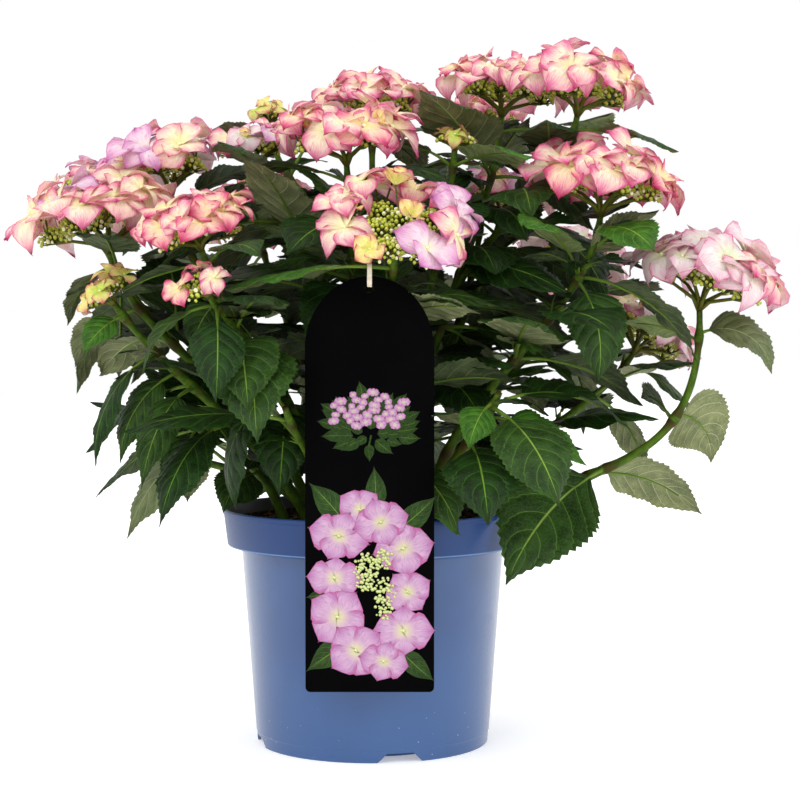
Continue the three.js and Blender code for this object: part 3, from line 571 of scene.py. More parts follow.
def sheetShape(rows, columns, stations=None):
    # a grid and its reversed twin, welded at their rims: t across, s along, z -1 on the twin
    bm = bmesh.new()
    layer = bm.faces.layers.int.new("back")
    bmesh.ops.create_grid(bm, x_segments=columns, y_segments=rows, size=1)
    twin = bmesh.ops.duplicate(bm, geom=bm.verts[:] + bm.edges[:] + bm.faces[:])
    backs = [g for g in twin["geom"] if isinstance(g, bmesh.types.BMFace)]
    bmesh.ops.reverse_faces(bm, faces=backs)
    for face in backs:
        face[layer] = 1
    for v in [v for v in vertsOf(twin) if not v.is_boundary]:
        v.co.z = -1
    bmesh.ops.remove_doubles(bm, verts=bm.verts[:], dist=1e-5)
    backOf = np.array([f[layer] for f in bm.faces])
    shape = harvest(bm)
    x, y, z = shape["spots"].T
    shape["t"], shape["s"], shape["z"] = x, (y + 1) / 2, z
    shape["row"] = np.round(shape["s"] * rows).astype(int)
    shape["rows"] = rows
    if stations:
        shape["s"] = np.array(stations)[shape["row"]]
    backs = np.repeat(backOf, shape["sizes"])
    t, s = shape["t"][shape["loops"]], shape["s"][shape["loops"]]
    shape["leafUvs"] = np.stack([0.25 + 0.24 * t + 0.5 * backs, 0.01 + 0.98 * s], 1)
    shape["sepalUvs"] = np.stack([0.5 + 0.49 * t, 0.01 + 0.98 * s], 1)
    return shape


def tubeShape(sides, rings):
    # a cylinder cut into rings, closed at its ends
    bm = bmesh.new()
    bmesh.ops.create_cone(bm, cap_ends=True, segments=sides, radius1=1, radius2=1, depth=1)
    upright = [e for e in bm.edges if abs(e.verts[0].co.z - e.verts[1].co.z) > 0.5]
    if rings > 2:
        bmesh.ops.subdivide_edges(bm, edges=upright, cuts=rings - 2, use_grid_fill=True)
    shape = harvest(bm)
    x, y, z = shape["spots"].T
    shape["ring"] = np.round((z + 0.5) * (rings - 1)).astype(int)
    around = np.mod(np.arctan2(y, x) / (2 * np.pi), 1)[shape["loops"]]
    face = np.repeat(np.arange(len(shape["sizes"])), shape["sizes"])
    most = np.zeros(len(shape["sizes"]))
    np.maximum.at(most, face, around)
    shape["round"] = np.where(most[face] - around > 0.5, around + 1, around)
    return shape


def ballShape():
    bm = bmesh.new()
    bmesh.ops.create_cube(bm, size=1)
    bmesh.ops.subdivide_edges(bm, edges=bm.edges[:], cuts=1, use_grid_fill=True)
    for v in bm.verts:
        v.co.normalize()
    shape = harvest(bm)
    x, y, z = shape["spots"][shape["loops"]].T
    shape["uvs"] = np.stack([0.5 + 0.2 * x + 0.2 * y, 0.5 + 0.4 * z], 1)
    return shape


class Heap:
    # many small closed shapes gathered into one mesh
    def __init__(self):
        self.points, self.loops, self.sizes, self.uvs, self.count = [], [], [], [], 0

    def add(self, points, shape, uvs):
        self.points.append(points)
        self.loops.append(shape["loops"] + self.count)
        self.sizes.append(shape["sizes"])
        self.uvs.append(uvs)
        self.count += len(points)

    def ball(self, place, radius, stretch=None):
        spots = ballTemplate["spots"] * radius
        if stretch is not None:
            spots = spots + np.outer(spots @ unit(stretch), stretch)
        self.add(spots + place, ballTemplate, ballTemplate["uvs"])

    def tube(self, places, radii, sides, along, across=(0.0, 1.0)):
        # a tube through the places; along and across say where it lies on the map
        places, radii = np.asarray(places, float), np.asarray(radii, float)
        if (sides, len(places)) not in tubeTemplates:
            tubeTemplates[sides, len(places)] = tubeShape(sides, len(places))
        shape = tubeTemplates[sides, len(places)]
        ways = np.gradient(places, axis=0)
        ways /= np.linalg.norm(ways, axis=1)[:, None]
        seed = np.array([0.31, 0.83, 0.46])
        firsts = seed - ways * (ways @ seed)[:, None]
        firsts /= np.linalg.norm(firsts, axis=1)[:, None]
        seconds = np.cross(ways, firsts)
        ring, (x, y, z) = shape["ring"], shape["spots"].T
        rim = firsts[ring] * x[:, None] + seconds[ring] * y[:, None]
        points = places[ring] + rim * radii[ring][:, None]
        v = np.asarray(along, float)[ring[shape["loops"]]]
        self.add(points, shape, np.stack([across[0] + across[1] * shape["round"], v], 1))

    def piece(self, name, material, slot):
        points, loops = np.concatenate(self.points) * mm, np.concatenate(self.loops)
        sizes = np.concatenate(self.sizes)
        mesh = bpy.data.meshes.new(name)
        mesh.vertices.add(len(points))
        mesh.vertices.foreach_set("co", points.astype(np.float32).ravel())
        mesh.loops.add(len(loops))
        mesh.loops.foreach_set("vertex_index", loops.astype(np.int32))
        mesh.polygons.add(len(sizes))
        mesh.polygons.foreach_set("loop_start", (np.cumsum(sizes) - sizes).astype(np.int32))
        mesh.update(calc_edges=True)
        layer = mesh.uv_layers.new(name="OFBake")
        layer.data.foreach_set("uv", np.concatenate(self.uvs).astype(np.float32).ravel())
        return show(name, mesh, material, 110)  # only the rims of leaves and sepals are sharp


def show(name, mesh, material, sharp, node=None):
    # a finished mesh as a piece of the object, with the edges hard that bend more than sharp
    mesh.materials.append(material)
    mesh.polygons.foreach_set("use_smooth", np.ones(len(mesh.polygons), bool))
    mesh.set_sharp_from_angle(angle=math.radians(sharp))
    made = bpy.data.objects.new(name, mesh)
    scene.collection.objects.link(made)
    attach(made, "root")
    if node:
        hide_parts(node)
    print(name, len(mesh.loops) - 2 * len(mesh.polygons), "triangles")
    return made


def meshOf(bm, name):
    mesh = bpy.data.meshes.new(name)
    bm.to_mesh(mesh)
    bm.free()
    return mesh


ballTemplate = ballShape()
tubeTemplates = {}


# leaves

leafForms = [
    {"sheet": sheetShape(40, 4), "width": 1.0, "teeth": 0.05,
     "s": [0, 0.025, 0.07, 0.15, 0.26, 0.38, 0.5, 0.62, 0.73, 0.82, 0.89, 0.94, 1],
     "w": [0.05, 0.25, 0.54, 0.84, 1, 1, 0.93, 0.77, 0.54, 0.31, 0.14, 0.065, 0.01]},
    {"sheet": sheetShape(38, 4), "width": 0.93, "teeth": 0.06,
     "s": [0, 0.03, 0.09, 0.18, 0.3, 0.42, 0.54, 0.65, 0.75, 0.83, 0.9, 0.95, 1],
     "w": [0.05, 0.22, 0.48, 0.77, 0.98, 1, 0.9, 0.72, 0.48, 0.28, 0.12, 0.055, 0.01]},
    {"sheet": sheetShape(42, 4), "width": 1.06, "teeth": 0.045,
     "s": [0, 0.02, 0.06, 0.13, 0.24, 0.35, 0.48, 0.6, 0.72, 0.81, 0.88, 0.94, 1],
     "w": [0.05, 0.3, 0.62, 0.88, 1, 1, 0.9, 0.74, 0.5, 0.29, 0.14, 0.06, 0.01]},
]
youngForm = {**leafForms[1], "sheet": sheetShape(14, 2), "teeth": 0.07}


def addLeaf(heap, leaf, seed, form):
    sheet = form["sheet"]
    s, t, side = sheet["s"], sheet["t"], np.abs(sheet["t"])
    draw = [chance(seed, 3.7, j) for j in range(8)]
    isTooth = (sheet["row"] % 2 == 1) & (side > 0.99) & (s < 0.97)
    half = np.interp(s, form["s"], form["w"]) * leaf.length * leafSet["width"] / 2 * form["width"] * leaf.wide
    half = half * np.where(isTooth, 1 + form["teeth"], 1 - form["teeth"] / 2 * (side > 0.99))
    ahead = leaf.petiole + leaf.length * (s + np.where(isTooth, 0.45 / sheet["rows"], 0))
    places, tangents, levels, normals = leaf.along(ahead)
    fold = math.tan(math.radians(leafSet["fold"] + leafSet["foldStray"] * (draw[0] - 0.5)))
    swell = np.sin(np.pi * np.clip(s, 0, 1)) ** 0.6
    rise = half * side * fold - leafSet["curl"] * leaf.length * side ** 2.4 * swell * (0.5 + draw[4])
    run = leafSet["veins"] * s - leafSet["slant"] * side - leafSet["sweep"] * side * side
    quilt = leafSet["quilt"] * leaf.length * (0.5 - 0.5 * np.cos(2 * np.pi * run)) * side * (1.15 - side)
    warp = np.sin(2 * np.pi * (1.3 * s + draw[1] + 0.25 * (t > 0))) * side ** 1.5
    ruffle = np.sin(2 * np.pi * (4.5 * s + draw[5] + 0.4 * (t > 0))) * side ** 3
    waves = (leafSet["warp"] * warp + leafSet["ruffle"] * ruffle) * leaf.length
    lift = rise + (quilt + waves) * swell
    twist = math.radians(leafSet["twist"] * (draw[2] - 0.5)) * s
    sway = leaf.length * leafSet["sway"] * (draw[3] - 0.5) * s * s
    points = (places + levels * (half * t * np.cos(twist) + sway)[:, None]
              + normals * (lift + half * t * np.sin(twist) + sheet["z"] * leafSet["thick"])[:, None])
    heap.add(points, sheet, sheet["leafUvs"])


def addStalk(heap, leaf, thick=1.0):
    # the leaf stalk, running on as a rib under the blade
    reach = leaf.petiole + leaf.length * 0.72
    ahead = np.concatenate([np.linspace(0, leaf.petiole, 5), np.linspace(leaf.petiole, reach, 5)[1:]])
    places, tangents, levels, normals = leaf.along(ahead)
    onBlade = np.clip((ahead - leaf.petiole) / (reach - leaf.petiole), 0, 1)
    radii = thick * (1.7 - 0.5 * np.minimum(ahead / leaf.petiole, 1)) * (1 - 0.72 * onBlade)
    places = places - normals * (onBlade > 0)[:, None] * (0.5 + 0.3 * thick)
    heap.tube(places, radii, 6, np.linspace(0.3, 0.7, len(ahead)), (0.05, 0.2))


# the shade kind is a near-black copy of the leaf skin, painted shade for leaves deep in the crown; the deep
# and shade kinds also have darker backs, painted shade on undersides inside the crown
leafLooks = {
    "deep": "081c03 1b3e0b 4a7620 8ab63c 35422a 56643e 8a9866",
    "olive": "162e0a 305018 648c34 9cc04e 626b46 868c5e c4caa0",
    "pale": "56623c 748056 a0ac7a bcc892 626b46 868c5e c4caa0",
    "fresh": "245010 467a22 80ae40 b0d45c 6c7e48 92a268 c0cc94",
    "shade": "030c02 0a1a05 1c3410 3c5a20 141d0b 222d16 3e4c2c",
}
# narrow blades by branch, pair and twin, 0 for one that is left off
slimLeaves = {
    (8, 1, 0): 0, (8, 1, 1): 0.42, (8, 2, 1): 0.5, (8, 3, 0): 0.6, (17, 0, 0): 0, (17, 2, 1): 0.7,
    (20, 0, 0): 0, (20, 0, 1): 0.42, (36, 4, 1): 0, (12, 0, 1): 0.62, (12, 1, 1): 0.5,
    (12, 3, 1): 0.62, (12, 2, 0): 0, (19, 1, 1): 0,
}
kindSet = {"top": 40, "freshAtTop": 0.22, "fresh": 0.05, "low": 190, "shade": 0.6, "olive": 0.68,
           "oliveRoll": -34}
leafKinds = {(66, 0, 0): "pale", (11, 145, 0): "pale", (11, 147, 0): "pale", (37, 0, 0): "deep",
             (8, 118, 0): "fresh", (7, 115, 0): "olive"}
leafHeaps = {kind: Heap() for kind in leafLooks}
stalkHeap = Heap()
for leaf in leaves:
    index, k, twin = leaf.key
    pick = chance(index, k + 0.3, twin + 0.7)
    if pick < kindSet["freshAtTop" if leaf.below < kindSet["top"] else "fresh"]:
        kind = "fresh"
    # leaves low in the crown often take the shade kind, painted shade
    elif leaf.below > kindSet["low"]:
        kind = "shade" if pick < kindSet["shade"] else "deep"
    else:
        kind = "olive" if pick > kindSet["olive"] or leaf.roll < kindSet["oliveRoll"] else "deep"
    kind = leafKinds.get(leaf.key, kind)
    leaf.wide = slimLeaves.get(leaf.key, leaf.wide)
    if leaf.wide == 0:
        continue
    leaf.seed = index * 7.1 + k * 1.3 + twin * 0.57
    form = leafForms[int(3 * chance(index, k + 0.6, twin + 0.2))]
    addLeaf(leafHeaps[kind], leaf, leaf.seed, form)
    addStalk(stalkHeap, leaf, 0.75 + leaf.length / 300)

# young side leaves in the joints of older ones
youngSet = {"skip": 0.2, "spread": 50, "stray": 40, "least": 26, "growth": 22, "oldGrowth": 34}
for leaf in [leaf for leaf in leaves if leaf.below > 20]:
    index, k, twin = leaf.key
    isBare = leaf.key in slimLeaves or leaf.branch is shoots["right_low"][0]
    if isBare or chance(index, k + 0.9, twin) < youngSet["skip"]:
        continue
    for half in (0, 1):
        draw = lambda n: chance(index, k, half + n)
        stray, grown = chance(index, k, twin + half + 9), chance(index, k, twin + half + 11)
        turn = youngSet["spread"] * (half - 0.5) + youngSet["stray"] * (stray - 0.5)
        out = turned(leaf.out, np.cross(up, leaf.out), turn)
        length = youngSet["least"] + youngSet["growth" if leaf.below < 60 else "oldGrowth"] * grown
        root = leaf.root + leaf.out * 2.5 + up * (3 + 3 * half)
        young = Leaf(root, out, 52 - 20 * half, 50 + 30 * draw(13), 30 * (draw(15) - 0.5),
                     5 + length * 0.2, length)
        pick = draw(17)
        kind = "fresh" if pick > 0.86 else "olive" if pick > 0.6 else "deep"
        # young leaves low in the crown often take the shade kind, painted shade
        kind = "shade" if leaf.below > 80 and pick < 0.5 else kind
        addLeaf(leafHeaps[kind], young, leaf.seed + 0.31 * (half + 1), youngForm)
        addStalk(stalkHeap, young, 0.5)
print("leaves set out")

leafPieces = {kind: leafHeaps[kind].piece(kind + "Leaves", leafPaint(kind + "LeafSkin", codes), "foliage")
              for kind, codes in leafLooks.items()}


# flower heads

sepalOutline = ([0, 0.15, 0.32, 0.5, 0.67, 0.82, 0.93, 1],
                [0.14, 0.46, 0.82, 1, 0.88, 0.52, 0.2, 0.015])
sepalSheet = sheetShape(floretSet["rows"], floretSet["columns"], sepalOutline[0])


def addSepal(heap, place, out, normal, length, width, tilt, curl, roll, lift, seed):
    s, t = sepalSheet["s"], sepalSheet["t"]
    side = np.cross(out, normal)
    over = normal * math.cos(roll) - side * math.sin(roll)
    side = side * math.cos(roll) + normal * math.sin(roll)
    wave = 1 + 0.06 * np.sin(2 * np.pi * (s * 1.7 + seed)) * (np.abs(t) > 0.9)
    across = t * width / 2 * np.interp(s, *sepalOutline) * wave
    ahead = length * s * (1 - 0.05 * t * t * s)
    bend = math.radians(tilt) + curl * s
    ruffle = 0.045 * length * np.sin(2 * np.pi * (s * 1.2 + t * 0.8 + seed)) * s
    hollow = floretSet["hollow"] * (1 if seed > 0.3 else -0.6)
    cup = hollow * length * t * t * np.sin(np.pi * np.clip(s, 0, 1))
    rise = np.sin(bend) * ahead + ruffle + cup + lift
    points = (place + out * (np.cos(bend) * ahead)[:, None] + side * across[:, None]
              + over * (rise + sepalSheet["z"] * floretSet["thick"])[:, None])
    heap.add(points, sepalSheet, sepalSheet["sepalUvs"])


def addFloret(heap, eyes, seat, seed, closed=0.0):
    a, b = faceOf(seat)
    normal = unit(seat["normal"] + a * floretSet["sway"] * (chance(seed, 2, 2) - 0.5)
                  + b * floretSet["sway"] * (chance(seed, 3, 3) - 0.5))
    count = 5 if chance(seed, 1, 1) > floretSet["fifth"] else 4
    spread = floretSet["flare"] + floretSet["flareStray"] * (chance(seed, 4, 4) - 0.5) + closed
    for j in range(count):
        draw = [chance(seed, j + 0.5, n) for n in range(6)]
        out = turned(a, b, seat["turn"] + 360 / count * j + 16 * (draw[0] - 0.5))
        out = unit(out - normal * out.dot(normal))
        length = seat["size"] * (0.63 + 0.1 * (draw[1] - 0.5)) * (1.05 if j % 2 else 0.95)
        width = seat["size"] * (0.7 if count == 4 else 0.58) * (0.88 + 0.24 * draw[2])
        tilt = spread + 14 * (draw[3] - 0.5)
        curl = floretSet["recurve"] * (0.5 + draw[4]) + closed * 0.016
        addSepal(heap, seat["place"], out, normal, length, width, tilt, curl,
                 math.radians(floretSet["overlap"]), 0.3 if j % 2 else -0.1, draw[5])
    eyes.ball(seat["place"] + normal * 1.3, 0.035 * seat["size"] + 0.25)


# colours, where the margin starts, how strong it is, how far the heart reaches, and the painted glow, an
# emission in the sepals' own colour that lifts their shaded sides
sepalLooks = {
    "rosy": ("f6dcc0 e4739a f3e6ac d45c88 b81f5c", 0.74, 0.95, 0.6, 0.08),
    "deep": ("f4ceae de5884 f3e098 cc4674 ae1848", 0.7, 1.0, 0.6, 0.08),
    "lilac": ("f0cdd8 d288b8 f2e8cc bc70a4 b03a8c", 0.78, 0.85, 0.42, 0.05),
    "peach": ("f7e4c0 eea0a8 eee49a de8098 c02a64", 0.75, 0.95, 0.6, 0.07),
    "blush": ("f2e2dc efb8ca e9eab8 e096ae ca4276", 0.77, 0.9, 0.56, 0.02),
    "opening": ("f3e28c ecb87e e4e274 e08c6c ae1c40", 0.72, 1.0, 0.8, 0.06),
    "young": ("dee074 e8bc7c c2d850 dc906c b42848", 0.7, 1.0, 0.8, 0.06),
}
# what share of each head's florets takes which colouring
headMix = {
    "rosy": [("rosy", 0.72), ("deep", 1)],
    "mixed": [("rosy", 1)],
    "peachy": [("peach", 0.6), ("rosy", 0.9), ("lilac", 1)],
    "deep": [("deep", 0.6), ("rosy", 1)],
    "lilac": [("lilac", 0.34), ("peach", 0.6), ("rosy", 0.84), ("blush", 1)],
    "blush": [("blush", 0.8), ("rosy", 1)],
    "young": [("young", 0.6), ("opening", 1)],
}
# bud colours and their painted glow, an emission in their own colour
budLooks = {"green": ("86921c c6cc50", 0.1), "opening": ("d4d888 f2f0cc", 0.04)}
raySet = {"reach": 0.95, "drop": 0.02, "bowl": 0.07, "bow": 0.35, "radii": (1.9, 1.1), "sides": 6}
budSet = {"flat": 0.95, "high": 0.82, "highStray": 0.24, "radius": 1.1, "radiusStray": 0.6, "stretch": 0.2}
openSet = {"side": 0.72, "clear": 0.2, "closed": 28, "size": 0.56}
betweenSet = {"turn": 160, "size": 0.74, "sizeStray": 0.24, "tilt": 14, "tiltStray": 30, "inset": 0.62,
              "high": 0.05, "highStray": 0.07, "smallShare": 0.45, "smallSize": 0.45, "smallFar": 0.24,
              "smallStray": 0.06, "smallHigh": 0.06, "smallClosed": 32}
sepalHeaps = {kind: Heap() for kind in sepalLooks}
budHeaps = {kind: Heap() for kind in budLooks}
rayHeap = Heap()
for branch, seats in heads:
    mix, spread, key = headMix[branch.spec["kind"]], branch.spread, branch.index
    centre, axis = branch.centre, branch.axis
    isYoung = spread <= headSet["young"]
    # rays part from the stem's top, each to a small cluster of buds
    hubs = []
    reach = headSet["coreRadius"] * spread
    clusters = headSet["youngClusters" if isYoung else "clusters"]
    for i in range(clusters):
        far = math.sqrt((i + 0.4) / clusters)
        out = branch.around(golden * i + branch.spec["phase"])
        drop = spread * (raySet["drop"] + raySet["bowl"] * far * far)
        hub = centre + out * reach * raySet["reach"] * far - axis * drop
        bow = branch.top + axis * 0.5 * spread * headSet["rayRise"] + out * reach * raySet["bow"] * far
        trail = [branch.top - axis * 2, (bow + branch.top) * 0.5, (bow + hub) * 0.5, hub]
        rayHeap.tube(trail, np.linspace(*raySet["radii"], 4), raySet["sides"], np.linspace(0.12, 0.45, 4),
                     (0.0, 0.15))
        hubs.append(hub)
        dome = spread * headSet["dome"] * (0.85 + 0.3 * chance(key, i, 34)) + 1.5
        buds = int(headSet["buds"] * (dome / 9) ** 2)
        for j in range(buds):
            low = math.sqrt((j + 0.5) / buds)
            way = axis * (1 - budSet["flat"] * low * low) + branch.around(golden * j + 50 * i) * low
            high = dome * (budSet["high"] + budSet["highStray"] * chance(key + i, j, 51))
            place = hub + unit(way) * high
            radius = budSet["radius"] + budSet["radiusStray"] * chance(key + i, j, 52)
            kind = "opening" if chance(key + i, j, 53) < headSet["paleBuds"] else "green"
            budHeaps[kind].ball(place, radius, axis * budSet["stretch"])
            if j % 2:
                rayHeap.tube([hub, place], [0.6, 0.45], 4, [0.4, 0.5], (0.0, 0.12))
    # the florets of the outer ring lean out, with others between them and small ones by the buds
    shown = []
    openTo = heading(branch.spec["openTo"]) if "openTo" in branch.spec else np.zeros(3)
    for seat in seats:
        ringed, out = seat["ringed"], seat["out"]
        # one head is open at its heart and on one side
        isOpening = openTo.any() and (not ringed or out.dot(openTo) > openSet["side"])
        lean = floretSet["faceOut" if ringed else "innerFaceOut"]
        shown.append(dict(seat, place=seat["place"] - out * (floretSet["inset"] if ringed else 0),
                          normal=unit(turned(seat["normal"], out, lean)),
                          closed=openSet["closed"] if isOpening else 0,
                          size=seat["size"] * (openSet["size"] if isOpening else 1)))
    ring = [] if isYoung else [seat for seat in seats if seat["ringed"]]
    for n, seat in enumerate(ring):
        if seat["out"].dot(openTo) > openSet["clear"]:
            continue
        draw, b = lambda i: chance(key, n, i), betweenSet
        turn = b["turn"] / len(ring) * (0.85 + 0.3 * draw(41))
        out = turned(seat["out"], np.cross(axis, seat["out"]), turn)
        size = seat["size"] * (b["size"] + b["sizeStray"] * draw(42))
        normal = turned(axis, out, b["tilt"] + b["tiltStray"] * draw(43))
        high = spread * (b["high"] + b["highStray"] * draw(44))
        place = centre + out * (spread / 2 - size * b["inset"]) + axis * high
        shown.append(dict(place=place, normal=normal, out=out, size=size, turn=360 * draw(45), closed=0))
        if draw(46) < b["smallShare"]:
            far = spread * (b["smallFar"] + b["smallStray"] * draw(48))
            shown.append(dict(place=centre + out * far + axis * spread * b["smallHigh"], normal=normal,
                              out=out, size=seat["size"] * b["smallSize"], closed=b["smallClosed"],
                              turn=360 * draw(49)))
    for n, seat in enumerate(shown):
        draw = chance(key * 1.7, n, 47)
        kind = next(name for name, share in mix if draw <= share)
        if branch.spec["kind"] == "mixed":
            isLilac = seat["out"][0] > 0.25 and draw < 0.34
            kind = "lilac" if isLilac else "deep" if draw > 0.8 else "rosy"
        if seat["closed"]:
            kind = "young" if branch.spec["kind"] == "young" else "opening"
        addFloret(sepalHeaps[kind], budHeaps["opening"], seat, key * 3.3 + n * 0.71, seat["closed"])
        hub = min(hubs, key=lambda p: np.linalg.norm(p - seat["place"]))
        bow = (hub + seat["place"]) / 2 - axis * 1.5 + seat["out"] * 2
        rayHeap.tube([hub, bow, seat["place"] - seat["normal"] * 0.2], [0.95, 0.8, 0.75], 4,
                     [0.3, 0.4, 0.5], (0.0, 0.12))
print("flower heads set out")

for kind, look in sepalLooks.items():
    sepalHeaps[kind].piece(kind + "Sepals", sepalPaint(kind + "SepalSkin", *look), "sepals")
for kind, look in budLooks.items():
    budHeaps[kind].piece(kind + "Buds", beadPaint(kind + "BudSkin", *look), "flower_buds")


# stems and canes

stemLooks = {"stem": "2c4806 527012 3c2a14 3a0e0c 1e140a", "stalk": "4a681c 708e34 5c6028 5a3428 444220",
             "ray": "4a4c16 747c2c 4e341c 5a2420 3a321c"}
stemHeap = Heap()
for branch in [branch for branches in shoots.values() for branch in branches]:
    count = 8 * max(1, round(branch.length / stemSet["ringStep"] / 8)) + 1
    shares = np.linspace(0, 1, count)
    places = np.array([branch.path.at(u) for u in shares])
    radii = branch.radius(shares)
    for u in branch.leafSpots:
        radii += 0.9 * np.exp(-((shares - u) * branch.length / 4.5) ** 2)
    spots = [Vector((branch.index * 3.1, u * branch.length / 14, 0.5)) for u in shares]
    radii *= 1 + 0.05 * np.array([noise.noise(spot) for spot in spots])
    joints = np.array(sorted(branch.leafSpots + [0.0, 1.0]))
    joint = np.clip(np.searchsorted(joints, shares, side="right") - 1, 0, len(joints) - 2)
    within = np.clip((shares - joints[joint]) / (joints[joint + 1] - joints[joint]), 0, 1)
    ripple = np.where(joint % 2 == 0, within, 1 - within)  # the map turns back at each joint
    stemHeap.tube(places, radii, stemSet["sides"], 0.02 + 0.96 * ripple, (0.02, 0.48))
stemPiece = stemHeap.piece("stems", stemPaint("stemSkin", stemLooks["stem"]), "green_bark")
stalkHeap.piece("leafStalks", stemPaint("stalkSkin", stemLooks["stalk"]), "green_bark")
rayHeap.piece("flowerStalks", stemPaint("rayStalkSkin", stemLooks["ray"]), "green_bark")
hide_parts(*["cane_" + name for name in shoots])
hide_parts(*["shoot_" + name for name in shoots])


# the pot

def pullOut(bm, faces, by):
    # the faces drawn out into a solid
    pulled = bmesh.ops.extrude_face_region(bm, geom=faces)
    bmesh.ops.translate(bm, vec=by, verts=vertsOf(pulled))


def soften(bm, offset, least):
    # faces turned outward, and a small round on the edges that bend more than least
    bmesh.ops.recalc_face_normals(bm, faces=bm.faces[:])
    sharp = [e for e in bm.edges if len(e.link_faces) == 2 and e.calc_face_angle() > least]
    bmesh.ops.bevel(bm, geom=sharp, offset=offset, affect="EDGES", segments=2, profile=0.5, material=-1)
    return bm


def spun(profile, steps):
    # a profile of radius and height turned about the upright axis
    bm = bmesh.new()
    verts = [bm.verts.new((r * mm, 0, z * mm)) for r, z in profile]
    edges = [bm.edges.new(pair) for pair in zip(verts, verts[1:])]
    bmesh.ops.spin(bm, geom=verts + edges, cent=(0, 0, 0), axis=(0, 0, 1), angle=2 * math.pi, steps=steps,
                   use_merge=True)
    bmesh.ops.remove_doubles(bm, verts=bm.verts[:], dist=1e-6)
    bmesh.ops.recalc_face_normals(bm, faces=bm.faces[:])
    return bm


def potProfile():
    p = potSet
    h, w, c, band = p["height"], p["wall"], p["channel"], p["height"] - p["rimBand"]
    rim, neck, foot = p["rimRadius"], p["neckRadius"], p["footRadius"]
    return [
        (0, 0), (p["footInner"] - 1, 0), (p["footInner"], 0.6), (p["footInner"] + 2, c), (foot - w, c),
        (foot - w, 0.5), (foot - w + 0.5, 0), (foot - 0.6, 0), (foot, 0.6), (foot + 0.7, 9),
        (foot + 1.1, 9.6), (neck - 0.5, band - 6), (neck + 0.5, band - 1.6), (neck + 2, band - 0.4),
        (rim - 4.9, band), (rim - 4.1, band + 0.3), (rim - 3.7, band + 1.1), (rim - 0.9, h - 4.2),
        (rim - 0.1, h - 3.6), (rim, h - 2.8), (rim, h - 0.9), (rim - 0.4, h - 0.2), (rim - 1.0, h),
        (rim - w + 0.3, h), (rim - w - 0.1, h - 0.4), (rim - w - 0.3, h - 1.5),
        (rim - p["bandTaper"] - w, band + w),
        (neck - w, band + w - 1), (neck - w - 1.5, band - 20), (foot - w + 0.8, c + w),
        (p["footInner"], c + w), (p["footInner"] - 2, w), (0, w),
    ]


def potPaint():
    paint = Paint("bluePotPlastic", "body pale dark scuff ledge soil",
                  "1d4479 2f588f 0a2c62 869dc0 6288bc 120d08")
    where = paint.place()
    x, y, z = paint.split(where)
    cloud, fine = paint.noise(where, 7.0), paint.noise(where, 420.0)
    scratch = paint.noise(paint.stretch(where, None, (0.02, 0.02, 0.0012)), 1.4, 5.0, 0.7).ease(0.66, 0.74)
    chip = paint.cells(where, 95.0).fade(0.03, 0.075) * z.fade(0.015, 0.05)
    wear = (scratch * z.fade(0.012, 0.05) * 0.5 + chip * 0.8).least(1.0)
    dust = paint.noise(where, 38.0, 4.0).ease(0.55, 0.8)
    # a painted highlight: a pale line along the ledge under the rim band
    ledge = z.ease(0.1514, 0.1522) * z.fade(0.1528, 0.1536)
    # the wall inside the rim, between the band and the rim's top, darkened nearly to the soil's colour
    middle = (z - 0.152) * 0.1286 + 0.1103
    isInside = (x * x + y * y - middle * middle).fade(-0.0001, 0.0001)
    darkInsideRim = isInside * z.ease(0.15, 0.152) * z.fade(0.1776, 0.179)
    # the rim band is painted darker, as shade cast by the foliage over it
    colour = paint.layers("body", (cloud.ease(0.35, 0.7) * 0.55, "pale"), (z.fade(0.0, 0.11) * 0.3, "pale"),
                          (z.ease(0.151, 0.153) * 0.66, "dark"), (ledge * 0.8, "ledge"), (wear, "scuff"),
                          (dust * z.ease(0.1, 0.16) * 0.25, "dark"), (darkInsideRim * 0.92, "soil"))
    return paint.set(Base_Color=colour, Roughness=0.36 + fine * 0.12 + wear * 0.3 + dust * 0.08,
                     Normal=paint.bump(fine * 0.4 + cloud * 0.6 - wear, 0.00025, 0.6),
                     Specular_IOR_Level=0.32, Coat_Weight=0.75 - z.ease(0.149, 0.151) * 0.68,
                     Coat_Roughness=0.18)


potMesh = meshOf(spun(potProfile(), potSet["steps"]), "nurseryPot")
potPiece = show("nurseryPot", potMesh, potPaint(), 28, "pot")
half, slant, tall = potSet["notchWidth"] / 2, potSet["notchSlant"], potSet["notchHeight"]
foot, deep = potSet["footRadius"] * mm, potSet["notchDepth"] * mm
cutters = []
for i in range(4):
    bm = bmesh.new()
    corners = [(-half - 1, -1), (half + 1, -1), (half, 0), (half - slant, tall), (-half + slant, tall),
               (-half, 0)]
    pullOut(bm, [bm.faces.new([bm.verts.new((foot - deep, y * mm, z * mm)) for y, z in corners])],
            (deep * 2, 0, 0))
    bmesh.ops.rotate(bm, cent=(0, 0, 0), verts=bm.verts[:],
                     matrix=Matrix.Rotation(math.radians(potSet["notchTurn"] + 90 * i), 3, "Z"))
    bmesh.ops.recalc_face_normals(bm, faces=bm.faces[:])
    cutter = bpy.data.objects.new("notchCutter", meshOf(bm, "notchCutter"))
    scene.collection.objects.link(cutter)
    cutters.append(cutter)
    cut = potPiece.modifiers.new("notch", "BOOLEAN")
    cut.object, cut.operation, cut.solver = cutter, "DIFFERENCE", "EXACT"
bpy.context.view_layer.update()
cutMesh = bpy.data.meshes.new_from_object(potPiece.evaluated_get(bpy.context.evaluated_depsgraph_get()))
potPiece.modifiers.clear()
potPiece.data = cutMesh
for cutter in cutters:
    bpy.data.objects.remove(cutter)
print("pot notched")


# the soil

